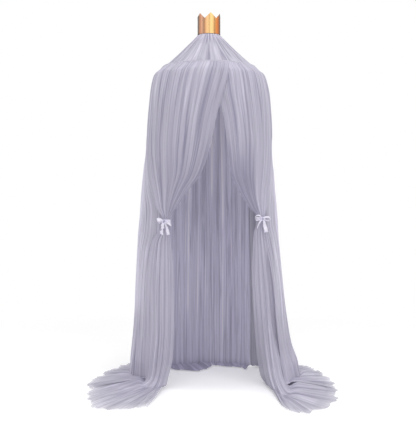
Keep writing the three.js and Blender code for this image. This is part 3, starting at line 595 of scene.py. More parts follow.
casing_low, casing_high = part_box("hoop_casing")
cone_low, cone_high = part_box("top_cone")
SEAM_RADIUS = casing_high.x
SEAM_Z = (casing_low.z + casing_high.z) / 2
rim_radius = CROWN_RADIUS - CROWN_WALL
cone_end_radius = cone_high.x - CONE_INSET
rim_slant = math.hypot(cone_end_radius - rim_radius, crown_low.z - SEAM_Z)
rim_z = crown_low.z - CLOTH_CLEAR * rim_slant / (cone_end_radius - rim_radius)
flare = (rim_radius - CONE_NECK_RADIUS) * CONE_FLARE_SHARE
cone_outline = np.array(
    [
        (CONE_NECK_RADIUS, cone_high.z),
        (CONE_NECK_RADIUS, CONE_NECK_BOTTOM),
        (CONE_NECK_RADIUS + flare, CONE_NECK_BOTTOM - flare),
        (rim_radius, rim_z),
        (cone_end_radius, cone_low.z + CONE_INSET),
    ]
)
cone_steps = np.hypot(*np.diff(cone_outline, axis=0).T)
cone_knots = np.concatenate([[0], np.cumsum(cone_steps)])
cone_along = np.linspace(0, cone_knots[-1], CONE_ROWS + 1)
cone_radii = np.interp(cone_along, cone_knots, cone_outline[:, 0])
cone_heights = np.interp(cone_along, cone_knots, cone_outline[:, 1])
past_rim = np.clip((cone_along - cone_knots[3]) / cone_steps[3], 0, 1)
cone_heights = cone_heights - CONE_SAG * np.sin(math.pi * past_rim)
cone_turns = np.linspace(0, 1, CONE_STEPS + 1)
cone_across, cone_down = np.meshgrid(cone_turns, past_rim)
pleat_share = np.interp(past_rim, *zip(*CONE_PLEAT_SHARES))[:, None]
fold_share = np.interp(past_rim, *zip(*CONE_FOLD_SHARES))[:, None]
pleats = fold_lines(cone_across, cone_down, CONE_PLEATS, seed=11, wander=0.002, sharp=0.7)
folds = fold_lines(cone_across, cone_down, CONE_FOLDS, seed=12, wander=0.006, sharp=0.4)
cone_fall = CONE_PLEAT * pleat_share * (pleats - 1) / 2 + CONE_FOLD * fold_share * (folds - 1) / 2
cone_spots = polar(
    cone_turns * 360,
    cone_radii[:, None] + CONE_HOLLOW_IN * cone_fall,
    cone_heights[:, None] + CONE_HOLLOW_DOWN * cone_fall,
)
CONE_METRES = (2 * math.pi * cone_end_radius, float(cone_knots[-1]))
cone_net = net("cone_net", CONE_TONES, CONE_METRES)
# Painted light and shade: paler on the crests of pleats and folds, deeper in their hollows and along the long
# creases.
cone_shading_paint = CONE_PLEAT_SHADE * pleats * (1 - CONE_PLEAT_FADE * past_rim[:, None]) + CONE_FOLD_SHADE * folds
for degrees, start, end, half_width, strength in CONE_PAINTED_CREASES:
    half_repeat = CREASE_REPEAT_DEGREES / 2
    from_crease = (cone_turns * 360 - degrees + half_repeat) % CREASE_REPEAT_DEGREES - half_repeat
    reach = smooth_step(past_rim, start - CREASE_START_FADE[0], start + CREASE_START_FADE[1])
    reach = reach * (1 - smooth_step(past_rim, end - CREASE_END_FADE, end))
    cone_shading_paint += strength * reach[:, None] * np.exp(-((from_crease / half_width) ** 2))
cone_cover = CONE_COVER + CONE_GATHERED_COVER * (1 - smooth_step(past_rim, 0, CONE_GATHERED_END))
cone_cover = np.broadcast_to(cone_cover[:, None], pleats.shape)
cone = grid_piece("cone", cone_spots, cone_net, joins=True, crest=cone_shading_paint, cover=cone_cover)
face_away(cone)
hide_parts("top_cone")
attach(cone, "canopy")

# Hoop
# Four white plastic rods push together end to end in short clear sleeves.
# They make the round hoop that spreads the net.
PLASTIC_CLOUDS = 160
PLASTIC_GRAIN_DEPTH = 0.0001
PLASTIC_DEEPER = 0.94
ROD_TONE = (0.93, 0.93, 0.95)
SLEEVE_TONE = (0.86, 0.87, 0.9)


def hoop_plastic(name, colour, rough):
    """Smooth moulded plastic, a little cloudy."""
    material, tree, add, shader = node_tree(name)
    place = add("ShaderNodeTexCoord").outputs["Object"]
    cloud = add("ShaderNodeTexNoise", Vector=place, Scale=PLASTIC_CLOUDS, Detail=3).outputs["Fac"]
    deep = tuple(PLASTIC_DEEPER * c for c in colour)
    tone = colour_ramp(add, cloud, [(0.3, deep), (0.7, colour)])
    bump = add("ShaderNodeBump", Strength=0.1, Distance=PLASTIC_GRAIN_DEPTH, Height=cloud)
    set_inputs(tree, shader, Base_Color=tone, Roughness=rough, Normal=bump.outputs[0], Coat_Weight=0.2)
    return material


rod_plastic = hoop_plastic("rod_plastic", ROD_TONE, rough=0.35)
sleeve_plastic = hoop_plastic("sleeve_plastic", SLEEVE_TONE, rough=0.25)
for index in range(1, 5):
    dress_node(f"hoop_arc_{index}", rod_plastic)
    dress_node(f"hoop_sleeve_{index}", sleeve_plastic)

# Hoop casing
# A folded tape that is sewn round the hoop. The cone and the skirt are sewn to it.
# The sewing puckers it a little.
CASING_WALL = 0.0007
CASING_SLIT_HALF = math.pi / 10
CASING_STEPS = 720
CASING_ROWS = 20
CASING_PUCKER = 0.0005
CASING_PUCKERS = 110

casing_radius = (casing_high.z - casing_low.z) / 2
hoop_radius = SEAM_RADIUS - casing_radius
casing_turns = np.linspace(0, 1, CASING_STEPS + 1)
casing_round = np.linspace(math.pi - CASING_SLIT_HALF, CASING_SLIT_HALF - math.pi, CASING_ROWS + 1)[:, None]
puckers = fold_lines(casing_turns[None, :], np.zeros((1, CASING_STEPS + 1)), CASING_PUCKERS, seed=21)
casing_section = casing_radius - CASING_WALL + CASING_PUCKER * puckers
casing_spots = polar(
    casing_turns * 360,
    hoop_radius + casing_section * np.cos(casing_round),
    SEAM_Z + casing_section * np.sin(casing_round),
)
casing_tape = woven_tape("casing_tape", 2 * math.pi * hoop_radius, 2 * math.pi * casing_radius)
casing = grid_piece("casing", casing_spots, casing_tape, joins=True)
face_away(casing)
add_wall(casing, CASING_WALL)
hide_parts("hoop_casing")
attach(casing, "canopy")

# Front curtains
# Two long panels of the same net, gathered at the hoop, where the left one laps over the right.
# Each is drawn to its side, tied at mid height, and trails on the floor in a fan.

# A row gives its height share, the angle and radius share of the inner and the outer edge,
# how far its middle swells forward, and its fold share. Radii are shares of the seam radius.
# A tie has its height and its two edges. The foot, where cloth meets the floor, and the hem lie on the floor.
LEFT_ROW_SHARES = [
    (0.988, 21, 1.13, -83.6, 1.07, 0, 0.15),
    (0.973, 19, 1.23, -83.6, 1.176, 0, 0.3),
    (0.9, 12.5, 1.288, -83.6, 1.264, 0, 0.4),
    (0.824, 6.5, 1.272, -83.6, 1.3, 0, 0.5),
    (0.748, 1.9, 1.24, -83, 1.34, 0, 0.6),
    (0.66, -7.5, 1.172, -77, 1.33, 0, 0.7),
    (0.606, -21.5, 1.152, -69, 1.29, 0, 0.8),
    (0.555, -34, 1.17, -60.5, 1.262, 0, 0.9),
]
LEFT_TIE_SHARES = (0.511, -43.6, 1.1575, -51.75, 1.2296)
LEFT_LOWER_SHARES = [
    (0.476, -42.6, 1.187, -56.5, 1.275, 0, 1),
    (0.445, -40, 1.205, -64, 1.33, 0.01, 1),
    (0.36, -35, 1.248, -67, 1.39, 0.04, 1),
    (0.27, -34.5, 1.248, -68.5, 1.41, 0.06, 1),
    (0.18, -34.5, 1.256, -68.5, 1.41, 0.08, 1),
    (0.09, -35.5, 1.28, -70.5, 1.44, 0.1, 1),
    (0.036, -38, 1.34, -72, 1.43, 0.12, 0.8),
]
LEFT_FOOT_SHARES = [
    (-0.884, -1.08),
    (-1.04, -1.22),
    (-1.25, -1.18),
    (-1.38, -0.94),
    (-1.36, -0.64),
    (-1.3, -0.4),
]
LEFT_HEM_SHARES = [
    (-1.128, -2.548),
    (-1.476, -2.76),
    (-1.976, -2.644),
    (-2.184, -2.532),
    (-2.32, -1.988),
    (-2.36, -1.6),
    (-2.34, -1.144),
    (-2.42, -0.62),
]
RIGHT_ROW_SHARES = [
    (0.988, 6, 1.064, 83.6, 1.08, 0, 0.15),
    (0.973, 6.3, 1.16, 83.6, 1.19, 0, 0.3),
    (0.9, 9, 1.22, 83.6, 1.296, 0, 0.4),
    (0.824, 14.3, 1.22, 83.6, 1.332, 0, 0.5),
    (0.748, 17.5, 1.22, 83.6, 1.338, 0, 0.6),
    (0.66, 21.5, 1.212, 77, 1.34, 0, 0.8),
    (0.606, 30, 1.208, 69, 1.34, 0, 1),
    (0.555, 41, 1.248, 61, 1.368, 0, 1),
]
RIGHT_TIE_SHARES = (0.519, 49.56, 1.2836, 56.25, 1.3826)
RIGHT_LOWER_SHARES = [
    (0.474, 46.6, 1.262, 58.5, 1.43, 0, 1),
    (0.42, 46.2, 1.24, 61.5, 1.47, 0.02, 1),
    (0.36, 47.2, 1.2, 65.5, 1.5, 0.05, 1),
    (0.27, 49, 1.2, 67, 1.56, 0.1, 1),
    (0.18, 53, 1.188, 67, 1.62, 0.22, 1),
    (0.09, 59, 1.17, 68.5, 1.68, 0.5, 0.8),
    (0.036, 64, 1.176, 70, 1.72, 0.86, 0.6),
]
RIGHT_FOOT_SHARES = [
    (1.16, -0.3),
    (1.22, -1.04),
    (1.34, -1.78),
    (1.5, -1.98),
    (1.66, -1.64),
    (1.71, -1.06),
    (1.66, -0.5),
]
RIGHT_HEM_SHARES = [
    (1.26, -0.24),
    (1.328, -1.6),
    (1.348, -2.4),
    (1.46, -2.72),
    (1.88, -3.02),
    (2.24, -2.32),
    (2.42, -1.8),
    (2.63, -1.36),
    (2.56, -0.85),
    (2.52, -0.44),
]
SKIRT_RADIUS = SEAM_RADIUS + CLOTH_CLEAR
HANG_HEIGHT = SEAM_Z - FLOOR_Z
FLOOR_CLEAR = 0.001
CURTAIN_STEPS = 380
CURTAIN_ROWS = 210
CURTAIN_FOLDS = 6
CURTAIN_PLEATS = 19
CURTAIN_GATHERS = 50
LARGE_FOLD = 0.009
CURTAIN_PLEAT = 0.003
CURTAIN_GATHER = 0.0012
# The steepest that large folds, pleats and gathers may stand where the cloth is drawn narrow.
STEEPEST = (0.5, 0.5, 0.4)
CALM_EDGE = 0.11
# The inner edge lets more through, as far in as this share of the width.
EDGE_THIN = 0.6
EDGE_REACH = 0.2
SWELL_POWER = 1.5
TIE_DEPTH = 0.0138
TIE_RISE = 0.012
LAP_RISE = 0.0046
LAP_END_SHARE = 0.4
TRAIN_SHARES = (0, 0.35, 0.7, 1)
TRAIN_RIDGE = 0.024
TRAIN_RIPPLE = 0.012
TRAIN_RIDGES = 11
TRAIN_SMALL_RIDGES = 27
TRAIN_CREASES = 26
TRAIN_HEAPS = (21, 16)
TRAIN_CRUMPLES = (36, 50)
SMALL_RIDGE_SHARE = 0.35
CRUMPLE_SHARE = 0.3
RIDGE_FADE = 0.85
RIPPLE_FADE = 0.8
HEM_WANDER = 0.024
HEM_TATTERS = (17, 43)
# How strongly the cloth on the floor is painted with light and shade by its ridges, crumples and heaps, and
# painted paler toward the hem.
RIDGE_SHADE = 0.8
SMALL_RIDGE_SHADE = 0.6
SMALL_RIDGE_TOP = 0.2
CRUMPLE_SHADE = 0.4
HEAP_SHADE = 0.7
HEM_PALE = 0.5
# Where the cloth lands in heaps, the deepest of its fine creases get this much painted shade.
CREASE_SHADE = 3.4
CREASE_FROM = 0.25
BUNCHED_PALE = 0.1
# How much of the painted shade of the hanging cloth is lost on the floor.
LANDED_LOSS = 0.6
# How far in from the edge, and how far from the hem, cloth lies up on the cloth beside it.
OVER_REACH = 0.3
FINE_TATTERS = 0.6
# How much the net hides on the floor, from where it lands to its hem.
TRAIN_COVER = (0.95, 0.92, 0.84, 0.5)
# A row for each level of a front curtain, from the seam through the tie's two levels to the hem:
# how deep its pleats and its gathers are, and how much the net hides.
CURTAIN_CLOTH_SHARES = [
    (0.1, 1, 0.9),
    (0.35, 1, 0.88),
    (0.8, 0.8, 0.86),
    (1, 0.65, 0.85),
    (1, 0.6, 0.85),
    (1, 0.55, 0.86),
    (0.9, 0.5, 0.88),
    (0.7, 0.4, 0.92),
    (0.5, 0.3, 0.96),
    (0.15, 0.1, 1),
    (0.15, 0.1, 1),
    (0.5, 0.3, 0.93),
    (0.7, 0.4, 0.93),
    (0.9, 0.5, 0.93),
    (1, 0.5, 0.93),
    (1, 0.5, 0.93),
    (1, 0.5, 0.93),
    (0.8, 0.5, 0.93),
    *((0.5, 0.4, cover) for cover in TRAIN_COVER),
]
MOST_COVER = 0.98
TIE_FOLD_SHARE = 1.15
LANDED_FOLD_SHARE = 0.25
CURTAIN_SWAY = 0.018
# Stretches of the cloth, as shares of its length from the seam, the tie or the place where it lands.
SEAM_STRETCH = (0.02, 0.22)
ABOVE_TIE_START = (-0.24, -0.08)
ABOVE_TIE_END = (-0.03, 0)
BELOW_TIE = (0.03, 0.12)
DRAWN_REACH = 0.09
TIE_REACH = 0.02
LANDING = (-0.02, 0.01)
TRAIN_LANDING = (-0.03, 0.02)
# The heaps where the cloth lands: how far out on the floor they lie, and how far they reach.
BUNCHED_AT = 0.08
BUNCHED_REACH = 0.2
# From the inner edge of a front curtain, as shares of its width.
INNER_HALF = (0.35, 0.55)
# How strongly folds, pleats and gathers are painted with light and shade. The tops of the last two are cut
# off at a level.
FOLD_SHADE = 0.25
PLEAT_SHADE = 0.5
PLEAT_TOP = 0.3
GATHER_SHADE = 0.6
GATHER_TOP = 0.2
# At the seam pleats have only this share of their painted shade, and the calm inner edge this share of all of
# it.
SEAM_SHADE_SHARE = 0.3
EDGE_SHADE_SHARE = 0.4
# Just below the seam the cloth is painted paler: painted light from above.
SEAM_PALE = 0.5
# The painted shade is stronger where the cloth is drawn into its tie, and below the tie.
# The drawn cloth gets painted shade of its own, and below the tie it is painted paler.
DRAWN_CONTRAST = 2
BELOW_TIE_CONTRAST = 0.9
DRAWN_SHADE = 0.1
BELOW_TIE_PALE = 0.2
CURTAIN_ACROSS = np.linspace(0, 1, CURTAIN_STEPS + 1)
# The random heights come again after this many units.
NOISE_UNITS = 64
# This keeps a direction of no length from being divided by zero.
LEAST_LENGTH = 1e-12


def soft_noise(across, down, seed):
    """Smooth random heights from -1 to 1, about one hill to each unit."""
    table = np.random.default_rng(seed).uniform(-1, 1, (NOISE_UNITS, NOISE_UNITS))
    i, j = np.floor(across).astype(int), np.floor(down).astype(int)
    s, t = smooth_step(across - i, 0, 1), smooth_step(down - j, 0, 1)
    here, beyond = i % NOISE_UNITS, (i + 1) % NOISE_UNITS
    first, second = (
        (1 - s) * table[here, k % NOISE_UNITS] + s * table[beyond, k % NOISE_UNITS] for k in (j, j + 1)
    )
    return (1 - t) * first + t * second


def shared_row(row):
    """One level of a front curtain, from its inner to its outer edge."""
    height, inner_degrees, inner_share, outer_degrees, outer_share, forward, _ = row
    degrees = inner_degrees + (outer_degrees - inner_degrees) * CURTAIN_ACROSS
    radius = (inner_share + (outer_share - inner_share) * CURTAIN_ACROSS) * SEAM_RADIUS
    spots = polar(degrees, radius, FLOOR_Z + height * HANG_HEIGHT)
    spots[:, 1] -= forward * SEAM_RADIUS * np.sin(math.pi * CURTAIN_ACROSS) ** SWELL_POWER
    return spots


def seam_row(inner_degrees, outer_degrees, lap):
    """The gathered edge that is sewn to the casing, lifted off it where it laps over the other curtain."""
    lifted = lap * (1 - smooth_step(CURTAIN_ACROSS, LAP_END_SHARE / 2, LAP_END_SHARE))
    degrees = inner_degrees + (outer_degrees - inner_degrees) * CURTAIN_ACROSS
    return polar(degrees, SKIRT_RADIUS + lifted, SEAM_Z)


def tie_ends(tie):
    """The two ends of the width of a tied bundle."""
    height, inner_degrees, inner_share, outer_degrees, outer_share = tie
    level = FLOOR_Z + height * HANG_HEIGHT
    inner = polar(inner_degrees, inner_share * SEAM_RADIUS, level)
    outer = polar(outer_degrees, outer_share * SEAM_RADIUS, level)
    return inner, outer


def tie_row(tie, side):
    """The row just above a tie (side 1) or just below it (side -1)."""
    inner, outer = tie_ends(tie)
    return inner + (outer - inner) * CURTAIN_ACROSS[:, None] + np.array((0, 0, side * TIE_RISE))


def floor_curve(shares, steps):
    """A smooth curve on the floor through places given as shares of the seam radius."""
    spots = np.array(shares) * SEAM_RADIUS
    padded = np.concatenate([2 * spots[:1] - spots[1:2], spots, 2 * spots[-1:] - spots[-2:-1]])
    turn = np.linspace(0, len(spots) - 1, steps + 1)
    at = np.minimum(turn.astype(int), len(spots) - 2)
    t = (turn - at)[:, None]
    a, b, c, d = (padded[at + k] for k in range(4))
    flat = 0.5 * (2 * b + (c - a) * t + (2 * a - 5 * b + 4 * c - d) * t**2 + (3 * b - a - 3 * c + d) * t**3)
    return np.concatenate([flat, np.full((steps + 1, 1), FLOOR_Z + FLOOR_CLEAR)], 1)


def train_rows(foot_shares, hem_shares, steps):
    """Rows of cloth on the floor, from where it lands out to its hem."""
    foot, hem = floor_curve(foot_shares, steps), floor_curve(hem_shares, steps)
    return [foot + (hem - foot) * share for share in TRAIN_SHARES]


def smooth_down(rows, count):
    """Smooth lines down through rows of places, which don't overshoot, and how far down each row lies."""
    rows = np.array(rows)
    steps = np.linalg.norm(np.diff(rows, axis=0), axis=2).mean(1)
    knots = np.concatenate([[0], np.cumsum(steps)]) / steps.sum()
    spans = np.diff(knots)[:, None, None]
    slopes = np.diff(rows, axis=0) / spans
    before, after = slopes[:-1], slopes[1:]
    agree = before * after > 0
    inner = np.where(agree, 2 * before * after / np.where(agree, before + after, 1), 0)
    tangents = np.concatenate([slopes[:1], inner, slopes[-1:]])
    spots = np.linspace(0, 1, count + 1)
    at = np.clip(np.searchsorted(knots, spots, side="right") - 1, 0, len(knots) - 2)
    t = ((spots - knots[at]) / np.diff(knots)[at])[:, None, None]
    span = spans[at]
    smooth = (
        (2 * t**3 - 3 * t**2 + 1) * rows[at]
        + (t**3 - 2 * t**2 + t) * span * tangents[at]
        + (3 * t**2 - 2 * t**3) * rows[at + 1]
        + (t**3 - t**2) * span * tangents[at + 1]
    )
    return smooth, knots


def unit(directions):
    """The same directions, each of length one."""
    return directions / np.maximum(np.linalg.norm(directions, axis=-1, keepdims=True), LEAST_LENGTH)


def cloth_normals(spots):
    """Unit directions square to a grid of places."""
    return unit(np.cross(np.gradient(spots, axis=1), np.gradient(spots, axis=0)))


def moved(spots, normals, height):
    """Cloth pushed out along its normals. What would go below the floor lies on it."""
    out = spots + normals * height[..., None]
    out[..., 2] = np.maximum(out[..., 2], FLOOR_Z + FLOOR_CLEAR)
    return out


def levels(knots, count, values):
    """Values given row by row, blended over every row of the fine grid."""
    return np.interp(np.linspace(0, 1, count + 1), knots, values)[:, None]


def gentle(amount, spots, count, steepest):
    """A fold height that keeps folds from standing too steep where the cloth is drawn narrow."""
    width = np.linalg.norm(np.diff(spots, axis=1), axis=2).sum(1)[:, None]
    return np.minimum(amount, steepest * width / (2 * math.pi * count))


def lay_train(spots, crest, knots, start, across, down, seed, ridge, over):
    """Lifts the cloth on the floor in ridges that fan out, and by over where it lies on the next cloth."""
    landed = smooth_step(down, knots[start] + TRAIN_LANDING[0], knots[start] + TRAIN_LANDING[1])
    to_hem = np.clip((down - knots[start]) / (1 - knots[start]), 0, 1)
    ridges = fold_lines(across, down, TRAIN_RIDGES, seed, wander=0.02, sharp=0.3)
    small = fold_lines(across, down, TRAIN_SMALL_RIDGES, seed + 1, wander=0.015, sharp=0.5)
    heaps = soft_noise(across * TRAIN_HEAPS[0], down * TRAIN_HEAPS[1], seed + 2)
    crumple = soft_noise(across * TRAIN_CRUMPLES[0], down * TRAIN_CRUMPLES[1], seed + 3)
    lift = ridge * (ridges + 1) / 2 + SMALL_RIDGE_SHARE * ridge * (small + 1) / 2
    ripples = TRAIN_RIPPLE * (heaps + 1) / 2 + CRUMPLE_SHARE * TRAIN_RIPPLE * (crumple + 1) / 2
    lift = lift * (1 - RIDGE_FADE * to_hem) + ripples * (1 - RIPPLE_FADE * to_hem)
    lift = lift + over * (1 - smooth_step(across, 0, OVER_REACH)) * smooth_step(1 - to_hem, 0, OVER_REACH)
    spots[..., 2] += landed * lift
    along = np.gradient(spots, axis=0)
    along[..., 2] = 0
    ragged = soft_noise(across * HEM_TATTERS[0], down * 0, seed + 4)
    ragged = ragged + FINE_TATTERS * soft_noise(across * HEM_TATTERS[1], down * 0, seed + 5)
    spots += unit(along) * (HEM_WANDER * ragged * to_hem**2)[..., None]
    bunched = np.exp(-(((to_hem - BUNCHED_AT) / BUNCHED_REACH) ** 2))
    fine = fold_lines(across, down, TRAIN_CREASES, seed + 6, wander=0.012, sharp=0.9)
    # Painted light and shade on the floor: paler on ridges and toward the hem, darker in the creases where
    # the cloth lands in heaps.
    shade = RIDGE_SHADE * ridges + SMALL_RIDGE_SHADE * np.minimum(small, SMALL_RIDGE_TOP)
    shade = shade + CRUMPLE_SHADE * crumple + HEM_PALE * to_hem + HEAP_SHADE * heaps
    shade = shade - bunched * (CREASE_SHADE * np.maximum(0, -fine - CREASE_FROM) - BUNCHED_PALE)
    return spots, crest + landed * (shade - LANDED_LOSS * crest)


def curtain_spots(seam, row_shares, tie_shares, lower_shares, foot_shares, hem_shares, inside_painted_shade, seed):
    """A front curtain from the hoop, through its tie, down to its hem on the floor.

    Its crest is painted light above 0, where the net looks pale, and painted shade below 0, where it looks
    deep.
    Just above the tie its inner half turns away from the light, and gets more painted shade by the amount
    given for the inside.
    """
    hanging = [seam_row(*seam), *map(shared_row, row_shares), tie_row(tie_shares, 1), tie_row(tie_shares, -1)]
    hanging += map(shared_row, lower_shares)
    train = train_rows(foot_shares, hem_shares, CURTAIN_STEPS)
    spots, knots = smooth_down(hanging + train, CURTAIN_ROWS)
    start = len(hanging)
    tie_at = 1 + len(row_shares)
    across, down = np.meshgrid(CURTAIN_ACROSS, np.linspace(0, 1, CURTAIN_ROWS + 1))
    fold_shares = [0, *(row[-1] for row in row_shares), TIE_FOLD_SHARE, TIE_FOLD_SHARE]
    fold_shares += [*(row[-1] for row in lower_shares), *[LANDED_FOLD_SHARE] * len(train)]
    swell = np.sqrt(np.maximum(0, 1 - (2 * across - 1) ** 2))
    sway = CURTAIN_SWAY * np.sin(2 * math.pi * (1.1 * down + 0.35 * across) + seed) * swell
    big = np.sin(2 * math.pi * CURTAIN_FOLDS * (across + sway)) * swell
    pleats = fold_lines(across, down, CURTAIN_PLEATS, seed + 1, wander=0.01, sharp=0.8)
    gathers = fold_lines(across, down, CURTAIN_GATHERS, seed + 2, wander=0.003, sharp=0.9)
    pleat_shares, gather_shares, cover_shares = zip(*CURTAIN_CLOTH_SHARES)
    fold = LARGE_FOLD * levels(knots, CURTAIN_ROWS, fold_shares)
    pleat = CURTAIN_PLEAT * levels(knots, CURTAIN_ROWS, pleat_shares)
    gather = CURTAIN_GATHER * levels(knots, CURTAIN_ROWS, gather_shares)
    height = gentle(fold, spots, CURTAIN_FOLDS, STEEPEST[0]) * big
    height += gentle(pleat, spots, CURTAIN_PLEATS, STEEPEST[1]) * pleats
    height += gentle(gather, spots, CURTAIN_GATHERS, STEEPEST[2]) * gathers
    calm = smooth_step(across, 0, CALM_EDGE)
    height *= calm
    from_tie = down - (knots[tie_at] + knots[tie_at + 1]) / 2
    drawn = np.exp(-((from_tie / DRAWN_REACH) ** 2))
    below_seam = smooth_step(down, *SEAM_STRETCH)
    below_tie = smooth_step(from_tie, *BELOW_TIE)
    hollows = PLEAT_SHADE * np.minimum(pleats, PLEAT_TOP)
    hollows = hollows * (SEAM_SHADE_SHARE + (1 - SEAM_SHADE_SHARE) * below_seam)
    hollows = hollows + GATHER_SHADE * np.minimum(gathers, GATHER_TOP)
    contrast = EDGE_SHADE_SHARE + (1 - EDGE_SHADE_SHARE) * calm
    contrast = contrast * (1 + DRAWN_CONTRAST * drawn + BELOW_TIE_CONTRAST * below_tie)
    # Painted light and shade: deeper in hollows, paler on crests, below the seam and below the tie, deeper
    # near the tie and on the inner half above it.
    crest = (FOLD_SHADE * big * below_seam + hollows) * contrast
    crest = crest - DRAWN_SHADE * drawn + BELOW_TIE_PALE * below_tie + SEAM_PALE * (1 - below_seam)
    above_tie = smooth_step(from_tie, *ABOVE_TIE_START) * (1 - smooth_step(from_tie, *ABOVE_TIE_END))
    crest = crest - inside_painted_shade * above_tie * (1 - smooth_step(across, *INNER_HALF))
    near_tie = np.exp(-((from_tie / TIE_REACH) ** 2))
    limit = TIE_DEPTH * swell + (1 - near_tie)
    height = np.clip(height, -limit, limit)
    hangs = 1 - smooth_step(down, knots[start] + LANDING[0], knots[start] + LANDING[1])
    spots = moved(spots, cloth_normals(spots), height * hangs)
    cover = levels(knots, CURTAIN_ROWS, cover_shares)
    edge = 1 - EDGE_THIN * (1 - smooth_step(across, 0, EDGE_REACH)) * (1 - cover * cover)
    spots, crest = lay_train(spots, crest, knots, start, across, down, seed + 10, TRAIN_RIDGE, 0)
    return {"spots": spots, "crest": crest, "cover": np.clip(cover * edge, 0, MOST_COVER)}


CURTAIN_METRES = (1.6, 2.15)
# Tones of the skirt net: painted light on crests, plain, and painted shade in hollows.
SKIRT_TONES = ((0.78, 0.765, 0.83), (0.735, 0.72, 0.79), (0.6, 0.585, 0.67))
CURTAINS = {
    "left": {
        "seam": (22, -83.6, LAP_RISE),
        "row_shares": LEFT_ROW_SHARES,
        "tie_shares": LEFT_TIE_SHARES,
        "lower_shares": LEFT_LOWER_SHARES,
        "foot_shares": LEFT_FOOT_SHARES,
        "hem_shares": LEFT_HEM_SHARES,
        "inside_painted_shade": 0.9,
        "seed": 100,
    },
    "right": {
        "seam": (6, 83.6, 0),
        "row_shares": RIGHT_ROW_SHARES,
        "tie_shares": RIGHT_TIE_SHARES,
        "lower_shares": RIGHT_LOWER_SHARES,
        "foot_shares": RIGHT_FOOT_SHARES,
        "hem_shares": RIGHT_HEM_SHARES,
        "inside_painted_shade": 2,
        "seed": 200,
    },
}
skirt_net = net("skirt_net", SKIRT_TONES, CURTAIN_METRES)
for side, shape in CURTAINS.items():
    curtain = grid_piece(f"{side}_drape", material=skirt_net, **curtain_spots(**shape))
    face_away(curtain)
    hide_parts(f"{side}_curtain")
    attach(curtain, "canopy")

# Side and back panels
# Three more panels of the net close the canopy round its sides and back.
# They swell out from the hoop and trail on the floor, and their front edges go in behind the tied curtains.
BACK_COVER = 0.95
BACK_LANDED_COVER = 0.96
LANDED_COVER = 0.93
# How far round from straight sideways a side panel is painted pale, toward the front and toward the back,
# and how much more it lets through there.
SIDE_ARC_DEGREES = (38, 20)
SIDE_THIN = 0.1
# The back panel's rows are round: each has only its height share and its radius share.
BACK_ROW_SHARES = [
    (0.988, 1.09),
    (0.973, 1.19),
    (0.9, 1.272),
    (0.783, 1.32),
    (0.628, 1.38),
    (0.473, 1.42),
    (0.319, 1.448),
    (0.18, 1.464),
    (0.067, 1.464),
]
